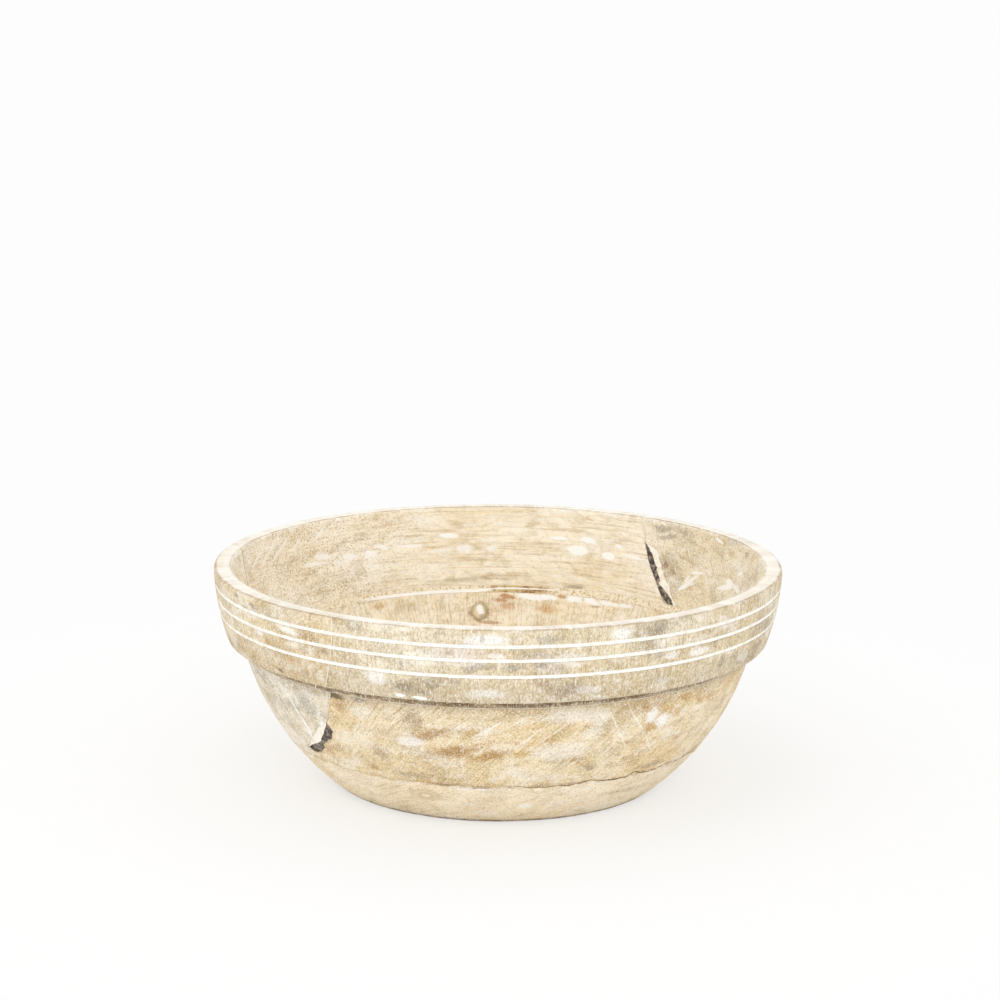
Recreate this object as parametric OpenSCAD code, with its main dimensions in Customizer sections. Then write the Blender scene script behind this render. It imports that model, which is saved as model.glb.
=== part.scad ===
// Turned dough bowl, glued up from boards, with three filled lines round its rim band.
// The blank has three layers: one base board, a wall course and a rim course.
// The wall course is a wide block with a narrow one glued to its left side.
// The rim course is a wide board with a narrow one glued to each side. The hollow cuts
// the wide board in two, so the finished rim is four blocks.
// Millimetres, +Z up, origin at the centre of the flat foot.

/* [Bowl] */
// Outer diameter of the rim
rim_d = 300; // [285:1:330]
// Height from the foot to the rim
bowl_h = 116; // [110:1:130]
// Diameter of the flat foot
foot_d = 174; // [160:1:190]
// Thickness of the wall at the rim
rim_t = 10; // [7:0.5:14]
// Thickness of the floor
floor_t = 15; // [10:0.5:20]
// Thickness of the wall, straight across, just under the band
wall_t = 9.5; // [8:0.5:12]
// Thickness of the wall, straight across, at the level of the floor
heel_t = 23; // [18:0.5:28]
// Outward bulge of the outer wall between the foot and the band
wall_bulge = 8; // [6:0.5:10]
// Radius of the curve from the hollow's wall to its floor
floor_fillet_r = 25; // [10:1:40]

/* [Rim band] */
// Height of the band that stands proud of the wall
band_h = 38.6; // [34:0.2:42]
// How far the band draws in from its top edge to its bottom edge
band_taper = 7.2; // [4:0.2:10]
// Outward bulge of the band
band_bulge = 1.6; // [0.8:0.1:2.5]
// How far the band's bottom edge overhangs the wall
band_step = 7; // [4:0.2:9]

/* [Edges] */
// Rounding of the rim's outer edge
rim_outer_edge_r = 2; // [0.5:0.25:3.5]
// Rounding of the rim's inner edge
rim_inner_edge_r = 2.5; // [0.5:0.25:3.5]
// Rounding of the band's bottom edge
band_edge_r = 1.5; // [0.5:0.25:3]
// Rounding of the foot's edge
foot_edge_r = 1; // [0.5:0.25:3]

/* [Boards] */
// Thickness of the base board
base_board_t = 26; // [24:0.5:30]
// Thickness of the rim course
rim_course_t = 43; // [40:0.5:48]
// Thickness of a glue line
glue_t = 0.3; // [0.2:0.05:0.6]
// Width of the wall course's narrow block, at the top of the wall
wall_side_w = 28.8; // [25:0.2:32]
// Turn of the wall course's boards in plan
wall_board_angle = 15; // [0:1:45]
// Width of the rim course's right block, at the rim
rim_right_w = 33; // [30:0.5:36]
// Width of the rim course's left block, at the rim
rim_left_w = 30; // [28:0.5:36]
// Turn of the rim course's boards in plan
rim_board_angle = 21; // [0:1:45]

/* [Rim lines] */
// Width of a turned line
line_w = 1.9; // [1.2:0.1:2.8]
// Depth of a turned line
line_depth = 1.2; // [0.8:0.1:2]
// Rim to the middle of the upper line
line_upper_drop = 8.5; // [6:0.1:10]
// Upper line to middle line
line_middle_pitch = 7.2; // [5:0.1:9]
// Middle line to lower line
line_lower_pitch = 8.3; // [5:0.1:9]

/* [Fillers] */
// Height of the filler in the seam between the courses, inside
seam_filler_h = 3.6; // [2:0.1:6]
// Depth of that filler into the wall
seam_filler_depth = 2.5; // [1.5:0.1:4]
// Rim to the top of the open gap in the rim course's right joint, inside
rim_gap_drop = 12; // [8:0.5:22]
// Depth of that gap
rim_gap_depth = 6; // [4:0.5:8]
// Width of the dark resin in it
rim_resin_w = 2.4; // [1:0.1:3]
// Width of the white putty in it
rim_putty_w = 1.8; // [1:0.1:3]
// Base board to the bottom of the gap in the wall course's joint, outside
wall_gap_rise = 5; // [3:0.5:10]
// Height of that gap
wall_gap_h = 22; // [15:0.5:28]
// Depth of that gap
wall_gap_depth = 5; // [3:0.5:7]
// Width of the dark resin in it
wall_resin_w = 3.2; // [2:0.1:5]
// Width of the white putty in it
wall_putty_w = 3.4; // [2:0.1:5]
// How far the resin lies below the surface
resin_sink = 2; // [0.5:0.25:2.5]

/* [Hidden] */
$fn = 180;
// Sides of a circle that gives the turned outline one of its long arcs
arc_fn = 1440;

// Turn from one side of the bowl to the other
half_turn = 180;
// Overrun of cuts past what they cut
over = 1;
// Room on every side for slabs and half spaces
span = rim_d;
// Parts of a millimetre that heights within the outline are rounded to
grid = 1000;

// Heights of the glue lines and of the band's bottom edge
wall_z = base_board_t + glue_t;
rim_z = bowl_h - rim_course_t;
seam_z = rim_z - glue_t;
band_z = bowl_h - band_h;

// Radii that the outline passes through
rim_r = rim_d / 2;
foot_r = foot_d / 2;
band_low_r = rim_r - band_taper;
wall_top_r = band_low_r - band_step;
hollow_top_r = rim_r - rim_t;
hollow_wall_r = wall_top_r - wall_t;

// Plank joints: the way each narrow block faces, and how far the joint is from the axis
wall_side_angle = wall_board_angle + half_turn;
wall_joint = wall_top_r - wall_side_w;
rim_right_angle = rim_board_angle;
rim_right_joint = rim_r - rim_right_w;
rim_left_angle = rim_board_angle + half_turn;
rim_left_joint = rim_r - rim_left_w;

// Heights of the three turned lines
line_upper_z = bowl_h - line_upper_drop;
line_middle_z = line_upper_z - line_middle_pitch;
line_lower_z = line_middle_z - line_lower_pitch;

// An arc from low to high that bulges away from the axis, as [centre, radius]
function bulged_arc(low, high, bulge) =
    let (
        chord = norm(high - low),
        radius = chord * chord / (8 * bulge) + bulge / 2,
        out = [high.y - low.y, low.x - high.x] / chord
    )
    [(low + high) / 2 - out * (radius - bulge), radius];

// The arc through three points, as [centre, radius]
function arc_through(a, b, c) =
    let (
        area = 2 * (a.x * (b.y - c.y) + b.x * (c.y - a.y) + c.x * (a.y - b.y)),
        x = (a * a * (b.y - c.y) + b * b * (c.y - a.y) + c * c * (a.y - b.y)) / area,
        y = (a * a * (c.x - b.x) + b * b * (a.x - c.x) + c * c * (b.x - a.x)) / area
    )
    [[x, y], norm(a - [x, y])];

// Distance from the axis to a circle about the arc's centre, at a height
function circle_r(arc, radius, z) = arc[0].x + sqrt(pow(radius, 2) - pow(z - arc[0].y, 2));

// Centre, at a height, of a round that touches the arc from inside, or from outside if radius < 0
function round_centre(arc, radius, z) = [circle_r(arc, arc[1] - radius, z), z];

// Height at which a round touches its arc, rounded so that the parts of the outline meet
function touch_z(arc, centre) =
    round(grid * (arc[0].y + (centre.y - arc[0].y) * arc[1] / norm(centre - arc[0]))) / grid;

wall_arc = bulged_arc([foot_r, 0], [wall_top_r, band_z], wall_bulge);
band_arc = bulged_arc([band_low_r, band_z], [rim_r, bowl_h], band_bulge);
hollow_floor_r = circle_r(wall_arc, wall_arc[1], floor_t) - heel_t;
hollow_arc = arc_through([hollow_floor_r, floor_t], [hollow_wall_r, band_z], [hollow_top_r, bowl_h]);

foot_centre = round_centre(wall_arc, foot_edge_r, foot_edge_r);
band_centre = round_centre(band_arc, band_edge_r, band_z + band_edge_r);
rim_outer_centre = round_centre(band_arc, rim_outer_edge_r, bowl_h - rim_outer_edge_r);
rim_inner_centre = round_centre(hollow_arc, -rim_inner_edge_r, bowl_h - rim_inner_edge_r);
floor_centre = round_centre(hollow_arc, floor_fillet_r, floor_t + floor_fillet_r);

// Everything on the axis side of an arc moved out by grow, between two heights
module inside_arc(arc, low, high, grow = 0) {
    intersection() {
        translate(arc[0]) circle(arc[1] + grow, $fn = arc_fn);
        translate([0, low]) square([span, high - low]);
    }
}

// Everything on the axis side of a round, between two heights
module inside_round(centre, radius, low, high) {
    translate([0, low]) square([centre.x, high - low]);
    intersection() {
        translate(centre) circle(radius);
        translate([0, low]) square([span, high - low]);
    }
}

// Outline of the bowl's outside
module outer_outline() {
    foot_top = touch_z(wall_arc, foot_centre);
    band_bottom = touch_z(band_arc, band_centre);
    rim_bottom = touch_z(band_arc, rim_outer_centre);
    inside_round(foot_centre, foot_edge_r, 0, foot_top);
    inside_arc(wall_arc, foot_top, band_z);
    inside_round(band_centre, band_edge_r, band_z, band_bottom);
    inside_arc(band_arc, band_bottom, rim_bottom);
    inside_round(rim_outer_centre, rim_outer_edge_r, rim_bottom, bowl_h);
}

// Outline of the hollow
module hollow_outline() {
    floor_top = touch_z(hollow_arc, floor_centre);
    inside_arc(hollow_arc, floor_top, bowl_h + over);
    inside_round(floor_centre, floor_fillet_r, floor_t, floor_top);
}

// The corner that the round on the rim's inner edge takes off
module rim_inner_corner() {
    low = touch_z(hollow_arc, rim_inner_centre);
    difference() {
        translate([0, low]) square([rim_inner_centre.x, bowl_h + over - low]);
        translate(rim_inner_centre) circle(rim_inner_edge_r);
    }
}

// The turned bowl between two heights
module layer(low, high) {
    rotate_extrude() intersection() {
        difference() {
            outer_outline();
            hollow_outline();
            rim_inner_corner();
        }
        translate([0, low]) square([span, high - low]);
    }
}

// A slab along a plank joint, from one distance off the axis to another
module slab(angle, from, to) {
    rotate([0, 0, angle]) translate([from, -span, -over]) cube([to - from, 2 * span, bowl_h + 2 * over]);
}

// Half of the space along a plank joint; side is 1 or -1
module joint_half(angle, side) {
    rotate([0, 0, angle]) translate([-span, side > 0 ? 0 : -span, -over])
        cube([2 * span, span, bowl_h + 2 * over]);
}

// What lies between two depths behind an arc, outwards from it, and between two heights
module skin(arc, from, to, low, high) {
    difference() {
        inside_arc(arc, low, high, to);
        inside_arc(arc, low, high, from);
    }
}

// A turned line's square groove in outline, with an overrun out of the band
module line_outline(z) {
    back_r = circle_r(band_arc, band_arc[1], z) - line_depth;
    translate([back_r, z - line_w / 2]) square([line_depth + over, line_w]);
}

module line_groove(z) {
    rotate_extrude() line_outline(z);
}

module line_fill(z) {
    color("ivory") rotate_extrude() intersection() {
        line_outline(z);
        inside_arc(band_arc, z - line_w, z + line_w);
    }
}

// The rabbet round the top of the wall course, inside, from a depth to its back
module seam_rabbet(from) {
    rotate_extrude() skin(hollow_arc, from, seam_filler_depth, seam_z - seam_filler_h, seam_z);
}

// The gap in the rim course's right joint, from a depth to its back and between two sides of the joint
module rim_gap(depth, from, to) {
    intersection() {
        rotate_extrude() skin(hollow_arc, depth, rim_gap_depth, rim_z, bowl_h - rim_gap_drop);
        slab(rim_right_angle, rim_right_joint + from, rim_right_joint + to);
        joint_half(rim_right_angle, 1);
    }
}

// The gap in the wall course's joint, from a depth to its back and between two sides of the joint
module wall_gap(depth, from, to) {
    low = wall_z + wall_gap_rise;
    intersection() {
        rotate_extrude() skin(wall_arc, -wall_gap_depth, -depth, low, low + wall_gap_h);
        slab(wall_side_angle, wall_joint + from, wall_joint + to);
        joint_half(wall_side_angle, 1);
    }
}

module rim_course() {
    difference() {
        layer(rim_z, bowl_h);
        line_groove(line_upper_z);
        line_groove(line_middle_z);
        line_groove(line_lower_z);
        rim_gap(-over, -rim_resin_w, rim_putty_w);
    }
}

module wall_course() {
    difference() {
        layer(wall_z, seam_z);
        seam_rabbet(-over);
        wall_gap(-over, -wall_resin_w, wall_putty_w);
    }
}

// The rim course's wide board, on one side of the hollow
module rim_wide_block(side) {
    intersection() {
        rim_course();
        slab(rim_board_angle, glue_t / 2 - rim_left_joint, rim_right_joint - glue_t / 2);
        joint_half(rim_board_angle, side);
    }
}

// The film of glue in a plank joint of a course
module joint_film(angle, joint) {
    color("saddlebrown") intersection() {
        children();
        slab(angle, joint - glue_t / 2, joint + glue_t / 2);
    }
}

module base_board() {
    color("burlywood") layer(0, base_board_t);
}

module wall_main_block() {
    color("tan") intersection() {
        wall_course();
        slab(wall_side_angle, -span, wall_joint - glue_t / 2);
    }
}

module wall_side_block() {
    color("darkgray") intersection() {
        wall_course();
        slab(wall_side_angle, wall_joint + glue_t / 2, span);
    }
}

module rim_front_block() {
    color("wheat") rim_wide_block(-1);
}

module rim_back_block() {
    color("wheat") rim_wide_block(1);
}

module rim_left_block() {
    color("tan") intersection() {
        rim_course();
        slab(rim_left_angle, rim_left_joint + glue_t / 2, span);
    }
}

module rim_right_block() {
    color("rosybrown") intersection() {
        rim_course();
        slab(rim_right_angle, rim_right_joint + glue_t / 2, span);
    }
}

module base_glue_line() {
    color("saddlebrown") layer(base_board_t, wall_z);
}

module course_glue_line() {
    color("saddlebrown") layer(seam_z, rim_z);
}

module wall_joint_glue() {
    joint_film(wall_side_angle, wall_joint) wall_course();
}

module rim_left_glue() {
    joint_film(rim_left_angle, rim_left_joint) rim_course();
}

module rim_right_glue() {
    joint_film(rim_right_angle, rim_right_joint) rim_course();
}

module seam_filler() {
    color("ivory") seam_rabbet(0);
}

module rim_gap_resin() {
    color("dimgray") rim_gap(resin_sink, -rim_resin_w, 0);
}

module rim_gap_putty() {
    color("ivory") rim_gap(0, 0, rim_putty_w);
}

module wall_gap_resin() {
    color("dimgray") wall_gap(resin_sink, -wall_resin_w, 0);
}

module wall_gap_putty() {
    color("ivory") wall_gap(0, 0, wall_putty_w);
}

base_board();
wall_main_block();
wall_side_block();
rim_front_block();
rim_back_block();
rim_left_block();
rim_right_block();
base_glue_line();
course_glue_line();
wall_joint_glue();
rim_left_glue();
rim_right_glue();
line_fill(line_upper_z);  // line_fill_upper
line_fill(line_middle_z);  // line_fill_middle
line_fill(line_lower_z);  // line_fill_lower
seam_filler();
rim_gap_resin();
rim_gap_putty();
wall_gap_resin();
wall_gap_putty();
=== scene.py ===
"""Looks, light and camera of a turned, whitewashed dough bowl.

The bowl is glued up from boards: a base board, a wall course of two blocks and a rim course of four.
Three turned lines on the rim band are filled white, and so are the open places in the joints.
Sizes are in millimetres until a mesh is made, and meshes are in metres.
"""

import logging
import math
from collections.abc import Callable, Sequence
from dataclasses import dataclass, field, replace
from enum import Enum

import bpy
from mathutils import Matrix, Vector, noise


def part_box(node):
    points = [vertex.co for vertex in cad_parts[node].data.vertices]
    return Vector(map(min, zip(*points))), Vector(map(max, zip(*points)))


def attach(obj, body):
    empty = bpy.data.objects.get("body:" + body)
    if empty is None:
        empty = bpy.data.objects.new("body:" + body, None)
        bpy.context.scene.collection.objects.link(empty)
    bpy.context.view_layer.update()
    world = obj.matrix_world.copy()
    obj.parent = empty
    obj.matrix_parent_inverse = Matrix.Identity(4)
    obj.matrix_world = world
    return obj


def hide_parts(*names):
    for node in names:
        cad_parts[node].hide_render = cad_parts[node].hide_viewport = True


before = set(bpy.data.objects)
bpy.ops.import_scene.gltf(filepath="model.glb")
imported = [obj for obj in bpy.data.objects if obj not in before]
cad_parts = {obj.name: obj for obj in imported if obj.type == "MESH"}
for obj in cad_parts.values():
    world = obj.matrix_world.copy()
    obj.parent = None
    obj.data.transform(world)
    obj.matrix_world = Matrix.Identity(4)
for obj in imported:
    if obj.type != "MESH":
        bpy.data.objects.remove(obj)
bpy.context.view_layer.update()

LOG = logging.getLogger("dough_bowl")

MM = 0.001
FULL_TURN = 2.0 * math.pi
# Vertices closer than this, in metres, are one vertex
WELD = 1e-6
# How deep below the surface a mark on the wood still shows
MARK_DEPTH = 6.0
# How far out of a mark its fade is drawn, in its own half lengths
MARK_REACH = 3.0
# How far beyond a rounded edge the next stretch of an outline starts
AFTER_ROUND = 0.2
# A height may be this much over the top of a gap through rounding
ROUNDING = 1e-6
HALF_TURN_DEGREES = 180.0
# How far a seed of one moves a noise along each axis, in millimetres
SEED_STEPS = (37.0, 53.0, 71.0)
# Where an outline has closer points near the ends of an arc, as ways from the end
NEAR_ENDS = (0.35, 0.8, 1.4, 2.1)
# Faces that meet at less than this, in degrees, are shaded as one
SMOOTH_ANGLE = 38.0
# The weak shine of limed wood, filler and glue
MATT_SHINE = 0.25
RIGHT = (1.0, 0.0, 0.0)
BACK = (0.0, 1.0, 0.0)
FRONT = (0.0, -1.0, 0.0)
UP = (0.0, 0.0, 1.0)
# Where the seams are most open
FRONT_RIGHT = (0.5, -0.866, 0.0)

Point = tuple[float, float]
# Where a ramp starts and is full, and the shares that it has there
Ramp = tuple[float, float, float, float]
Socket = bpy.types.NodeSocket
Colour = tuple[float, float, float, float]


def linear(hex_colour: str) -> Colour:
    """Turns an sRGB hex colour to linear light.

    Args:
        hex_colour: six hex digits after a hash sign.

    Returns:
        Red, green, blue and an alpha of one.
    """
    channels = [int(hex_colour[i : i + 2], 16) / 255.0 for i in (1, 3, 5)]
    red, green, blue = (c / 12.92 if c <= 0.04045 else ((c + 0.055) / 1.055) ** 2.4 for c in channels)
    return red, green, blue, 1.0


@dataclass(frozen=True)
class Arc:
    """A circular arc of the turned outline, in the half plane of radius and height."""

    centre_r: float
    centre_z: float
    radius: float

    @classmethod
    def bulged(cls, low: Point, high: Point, bulge: float) -> "Arc":
        """Makes the arc between two points that bulges away from the axis.

        Args:
            low: radius and height of the lower end.
            high: radius and height of the upper end.
            bulge: how far the arc stands off its chord.

        Returns:
            The arc.
        """
        chord = math.dist(low, high)
        radius = chord**2 / (8.0 * bulge) + bulge / 2.0
        out_r = (high[1] - low[1]) / chord
        out_z = (low[0] - high[0]) / chord
        reach = radius - bulge
        middle_r, middle_z = (low[0] + high[0]) / 2.0, (low[1] + high[1]) / 2.0
        return cls(middle_r - out_r * reach, middle_z - out_z * reach, radius)

    @classmethod
    def through(cls, a: Point, b: Point, c: Point) -> "Arc":
        """Makes the arc through three points.

        Args:
            a: radius and height of the first point.
            b: radius and height of the second.
            c: radius and height of the third.

        Returns:
            The arc.
        """
        area = 2.0 * (a[0] * (b[1] - c[1]) + b[0] * (c[1] - a[1]) + c[0] * (a[1] - b[1]))
        squares = [p[0] ** 2 + p[1] ** 2 for p in (a, b, c)]
        r = (squares[0] * (b[1] - c[1]) + squares[1] * (c[1] - a[1]) + squares[2] * (a[1] - b[1])) / area
        z = (squares[0] * (c[0] - b[0]) + squares[1] * (a[0] - c[0]) + squares[2] * (b[0] - a[0])) / area
        return cls(r, z, math.dist(a, (r, z)))

    def at(self, z: float, grow: float = 0.0) -> float:
        """Gives the distance from the axis at a height, on the arc or on one whose radius is grown."""
        return self.centre_r + math.sqrt((self.radius + grow) ** 2 - (z - self.centre_z) ** 2)

    def points(self, start: float, end: float, step: float) -> list[Point]:
        """Samples the arc between two heights, closer together near both ends.

        Args:
            start: the first height.
            end: the last height.
            step: the spacing between the ends.

        Returns:
            Points from start to end.
        """
        span = abs(end - start)
        near = [d for d in NEAR_ENDS if 2.0 * d < span - step]
        lead = near[-1] if near else 0.0
        count = max(1, math.ceil((span - 2.0 * lead) / step))
        offsets = [0.0] + near + [lead + (span - 2.0 * lead) * i / count for i in range(1, count)]
        offsets += [span - d for d in reversed(near)] + [span]
        way = 1.0 if end > start else -1.0
        return [(self.at(start + way * d), start + way * d) for d in offsets]


def corner(centre: Point, radius: float, start: float, end: float, count: int = 5) -> list[Point]:
    """Samples a rounded edge from one direction to another, in degrees from outwards."""
    turns = [math.radians(start + (end - start) * i / (count - 1)) for i in range(count)]
    return [(centre[0] + radius * math.cos(t), centre[1] + radius * math.sin(t)) for t in turns]


def edge_height(node: str, top: bool) -> float:
    """Gives the height, in millimetres, of a CAD node's top or bottom."""
    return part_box(node)[1 if top else 0].z / MM


def level(place: Vector) -> Vector:
    """Gives the level direction, of length one, from the axis to a place."""
    return Vector((place.x, place.y, 0.0)).normalized()


class Side(Enum):
    """Which side of the bowl's wall something is on; the value is the way out of the wood."""

    OUTSIDE = 1.0
    INSIDE = -1.0


@dataclass(frozen=True)
class Plank:
    """A plane in which two blocks of a course are glued edge to edge."""

    angle: float
    distance: float
    ease: float

    @property
    def normal(self) -> Vector:
        """Direction from the axis to the joint."""
        turn = math.radians(self.angle)
        return Vector((math.cos(turn), math.sin(turn), 0.0))

    @property
    def along(self) -> Vector:
        """Direction along the joint, level."""
        turn = math.radians(self.angle)
        return Vector((-math.sin(turn), math.cos(turn), 0.0))

    def is_beyond(self, place: Vector) -> bool:
        """Says whether a place, in millimetres, is further from the axis than the joint."""
        return place.dot(self.normal) > self.distance


@dataclass(frozen=True)
class BowlSizes:
    """The turned outline's driving sizes, in millimetres, with heights from the frame."""

    rim_d: float = 300.0
    foot_d: float = 174.0
    rim_t: float = 10.0
    floor_t: float = 15.0
    wall_t: float = 9.5
    heel_t: float = 23.0
    wall_bulge: float = 8.0
    floor_fillet_r: float = 25.0
    band_h: float = 38.6
    band_taper: float = 7.2
    band_bulge: float = 1.6
    band_step: float = 7.0
    rim_outer_edge_r: float = 2.0
    rim_inner_edge_r: float = 2.5
    band_edge_r: float = 1.5
    foot_edge_r: float = 1.0
    line_depth: float = 1.2
    seam_filler_depth: float = 2.5
    wall_side_w: float = 28.8
    wall_board_angle: float = 15.0
    rim_right_w: float = 33.0
    rim_left_w: float = 30.0
    rim_board_angle: float = 21.0
    wall_joint_ease: float = 0.12
    rim_right_ease: float = 0.0
    rim_left_ease: float = 0.03
    step: float = 1.1
    turn_steps: int = 760
    bowl_h: float = field(default_factory=lambda: edge_height("rim_front_block", True))
    base_top_z: float = field(default_factory=lambda: edge_height("base_board", True))
    wall_z: float = field(default_factory=lambda: edge_height("wall_main_block", False))
    seam_z: float = field(default_factory=lambda: edge_height("wall_main_block", True))
    rim_z: float = field(default_factory=lambda: edge_height("rim_front_block", False))
    filler_z: float = field(default_factory=lambda: edge_height("seam_filler", False))

    @property
    def glue_t(self) -> float:
        """Thickness of a glue line."""
        return self.wall_z - self.base_top_z

    @property
    def band_z(self) -> float:
        """Height of the band's bottom edge."""
        return self.bowl_h - self.band_h

    @property
    def band_low_r(self) -> float:
        """Radius of the band's bottom edge."""
        return self.rim_d / 2.0 - self.band_taper

    @property
    def wall_top_r(self) -> float:
        """Radius of the wall where the band overhangs it."""
        return self.band_low_r - self.band_step

    @property
    def wall(self) -> Arc:
        """Outside of the wall and of the base."""
        return Arc.bulged((self.foot_d / 2.0, 0.0), (self.wall_top_r, self.band_z), self.wall_bulge)

    @property
    def band(self) -> Arc:
        """Outside of the rim band."""
        return Arc.bulged((self.band_low_r, self.band_z), (self.rim_d / 2.0, self.bowl_h), self.band_bulge)

    @property
    def hollow(self) -> Arc:
        """Inside of the bowl, above the curve to the floor.

        Returns:
            The arc.
        """
        return Arc.through(
            (self.wall.at(self.floor_t) - self.heel_t, self.floor_t),
            (self.wall_top_r - self.wall_t, self.band_z),
            (self.rim_d / 2.0 - self.rim_t, self.bowl_h),
        )

    @property
    def wall_joint(self) -> Plank:
        """Joint between the wall course's two blocks."""
        angle = HALF_TURN_DEGREES + self.wall_board_angle
        return Plank(angle, self.wall_top_r - self.wall_side_w, self.wall_joint_ease)

    @property
    def rim_right(self) -> Plank:
        """Joint at the rim course's right block."""
        return Plank(self.rim_board_angle, self.rim_d / 2.0 - self.rim_right_w, self.rim_right_ease)

    @property
    def rim_left(self) -> Plank:
        """Joint at the rim course's left block."""
        angle = HALF_TURN_DEGREES + self.rim_board_angle
        return Plank(angle, self.rim_d / 2.0 - self.rim_left_w, self.rim_left_ease)

    @property
    def line_nodes(self) -> tuple[str, ...]:
        """The filled lines' nodes, from the lowest line up."""
        return "line_fill_lower", "line_fill_middle", "line_fill_upper"

    def surface(self, side: Side, z: float) -> float:
        """Gives the radius of the finished surface at a height.

        Args:
            side: inside or outside.
            z: the height.

        Returns:
            The distance from the axis.
        """
        if side is Side.INSIDE:
            return self.hollow.at(z)
        return self.band.at(z) if z > self.band_z else self.wall.at(z)

    def is_outside(self, place: Vector) -> bool:
        """Says whether a place in millimetres is nearer the outside of the wall than the inside.

        Args:
            place: the place.

        Returns:
            True for the outside.
        """
        z = min(max(place.z, 0.0), self.bowl_h)
        inner = self.hollow.at(z) if z > self.floor_t else 0.0
        return place.xy.length > (self.surface(Side.OUTSIDE, z) + inner) / 2.0


class Lathe:
    """Makes, cuts and finishes the turned meshes."""

    @staticmethod
    def only(piece: bpy.types.Object) -> None:
        """Makes a piece the one that is selected and active.

        Args:
            piece: the piece.
        """
        bpy.ops.object.select_all(action="DESELECT")
        bpy.context.view_layer.objects.active = piece
        piece.select_set(True)

    @classmethod
    def close(cls, piece: bpy.types.Object) -> None:
        """Welds the seam of a mesh and turns its normals out.

        Args:
            piece: the piece.
        """
        cls.only(piece)
        bpy.ops.object.mode_set(mode="EDIT")
        bpy.ops.mesh.select_all(action="SELECT")
        bpy.ops.mesh.remove_doubles(threshold=WELD)
        bpy.ops.mesh.delete_loose(use_verts=True, use_edges=True, use_faces=False)
        bpy.ops.mesh.select_all(action="SELECT")
        bpy.ops.mesh.normals_make_consistent(inside=False)
        bpy.ops.object.mode_set(mode="OBJECT")

    @classmethod
    def turn(cls, name: str, outline: Sequence[Point], steps: int) -> bpy.types.Object:
        """Turns a closed outline round the bowl's axis.

        Args:
            name: the piece's name.
            outline: radius and height of each point, in millimetres.
            steps: the number of steps in a full turn.

        Returns:
            The closed piece, at the origin.
        """
        bpy.ops.object.select_all(action="DESELECT")
        bpy.ops.mesh.primitive_circle_add(vertices=len(outline), radius=MM, fill_type="NOTHING")
        piece = bpy.context.active_object
        piece.name = name
        piece.data.name = name
        for vertex, (r, z) in zip(piece.data.vertices, outline):
            vertex.co = (r * MM, 0.0, z * MM)
        screw = piece.modifiers.new("turn", "SCREW")
        screw.axis = "Z"
        screw.angle = FULL_TURN
        screw.steps = steps
        screw.render_steps = steps
        bpy.ops.object.modifier_apply(modifier=screw.name)
        cls.close(piece)
        return piece

    @staticmethod
    def copy(piece: bpy.types.Object, name: str) -> bpy.types.Object:
        """Copies a piece with a mesh of its own.

        Args:
            piece: the piece to copy.
            name: the copy's name.

        Returns:
            The copy.
        """
        twin = piece.copy()
        twin.data = piece.data.copy()
        twin.name = name
        twin.data.name = name
        bpy.context.collection.objects.link(twin)
        return twin

    @classmethod
    def pick(cls, piece: bpy.types.Object, chosen: Callable[[Vector], bool]) -> None:
        """Opens a piece for editing with some of its vertices selected.

        Args:
            piece: the piece.
            chosen: says of a place, in metres, whether its vertex is selected.
        """
        cls.only(piece)
        bpy.context.tool_settings.mesh_select_mode = (True, False, False)
        bpy.ops.object.mode_set(mode="EDIT")
        bpy.ops.mesh.select_all(action="DESELECT")
        bpy.ops.object.mode_set(mode="OBJECT")
        for vertex in piece.data.vertices:
            vertex.select = chosen(vertex.co)
        bpy.ops.object.mode_set(mode="EDIT")

    @classmethod
    def cut(cls, piece: bpy.types.Object, joint: Plank, shift: float, keep_outer: bool) -> None:
        """Saws a piece along a joint and closes the sawn face.

        Args:
            piece: the piece.
            joint: the joint's plane.
            shift: how far outside the joint the saw runs, in millimetres.
            keep_outer: true to keep what lies outside the joint.
        """
        cls.only(piece)
        bpy.ops.object.mode_set(mode="EDIT")
        bpy.ops.mesh.select_all(action="SELECT")
        bpy.ops.mesh.bisect(
            plane_co=joint.normal * (joint.distance + shift) * MM,
            plane_no=joint.normal,
            use_fill=True,
            clear_inner=keep_outer,
            clear_outer=not keep_outer,
            threshold=WELD,
        )
        bpy.ops.object.mode_set(mode="OBJECT")

    @classmethod
    def drop(cls, piece: bpy.types.Object, unwanted: Callable[[Vector], bool]) -> None:
        """Deletes the vertices of a piece that lie where it isn't wanted.

        Args:
            piece: the piece.
            unwanted: says of a place, in metres, whether it goes.
        """
        cls.pick(piece, unwanted)
        bpy.ops.mesh.delete(type="VERT")
        bpy.ops.object.mode_set(mode="OBJECT")

    @classmethod
    def carve(cls, piece: bpy.types.Object, cutter: bpy.types.Object) -> None:
        """Takes the shape of a cutter out of a piece.

        Args:
            piece: the piece.
            cutter: the closed shape to take out.
        """
        cls.only(piece)
        gouge = piece.modifiers.new("gouge", "BOOLEAN")
        gouge.operation = "DIFFERENCE"
        gouge.solver = "EXACT"
        gouge.object = cutter
        bpy.ops.object.modifier_apply(modifier=gouge.name)

    @staticmethod
    def wear(piece: bpy.types.Object, worn: Callable[[Vector, Vector], Vector]) -> None:
        """Moves the vertices of a piece as wear and tools have left it.

        Args:
            piece: the piece.
            worn: gives a vertex's move from its place and normal, in millimetres.
        """
        vertices = piece.data.vertices
        # Normals are read before the first move, since each move would make Blender work them all out again
        normals = [vertex.normal.copy() for vertex in vertices]
        for vertex, normal in zip(vertices, normals):
            vertex.co += worn(vertex.co / MM, normal) * MM

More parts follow.
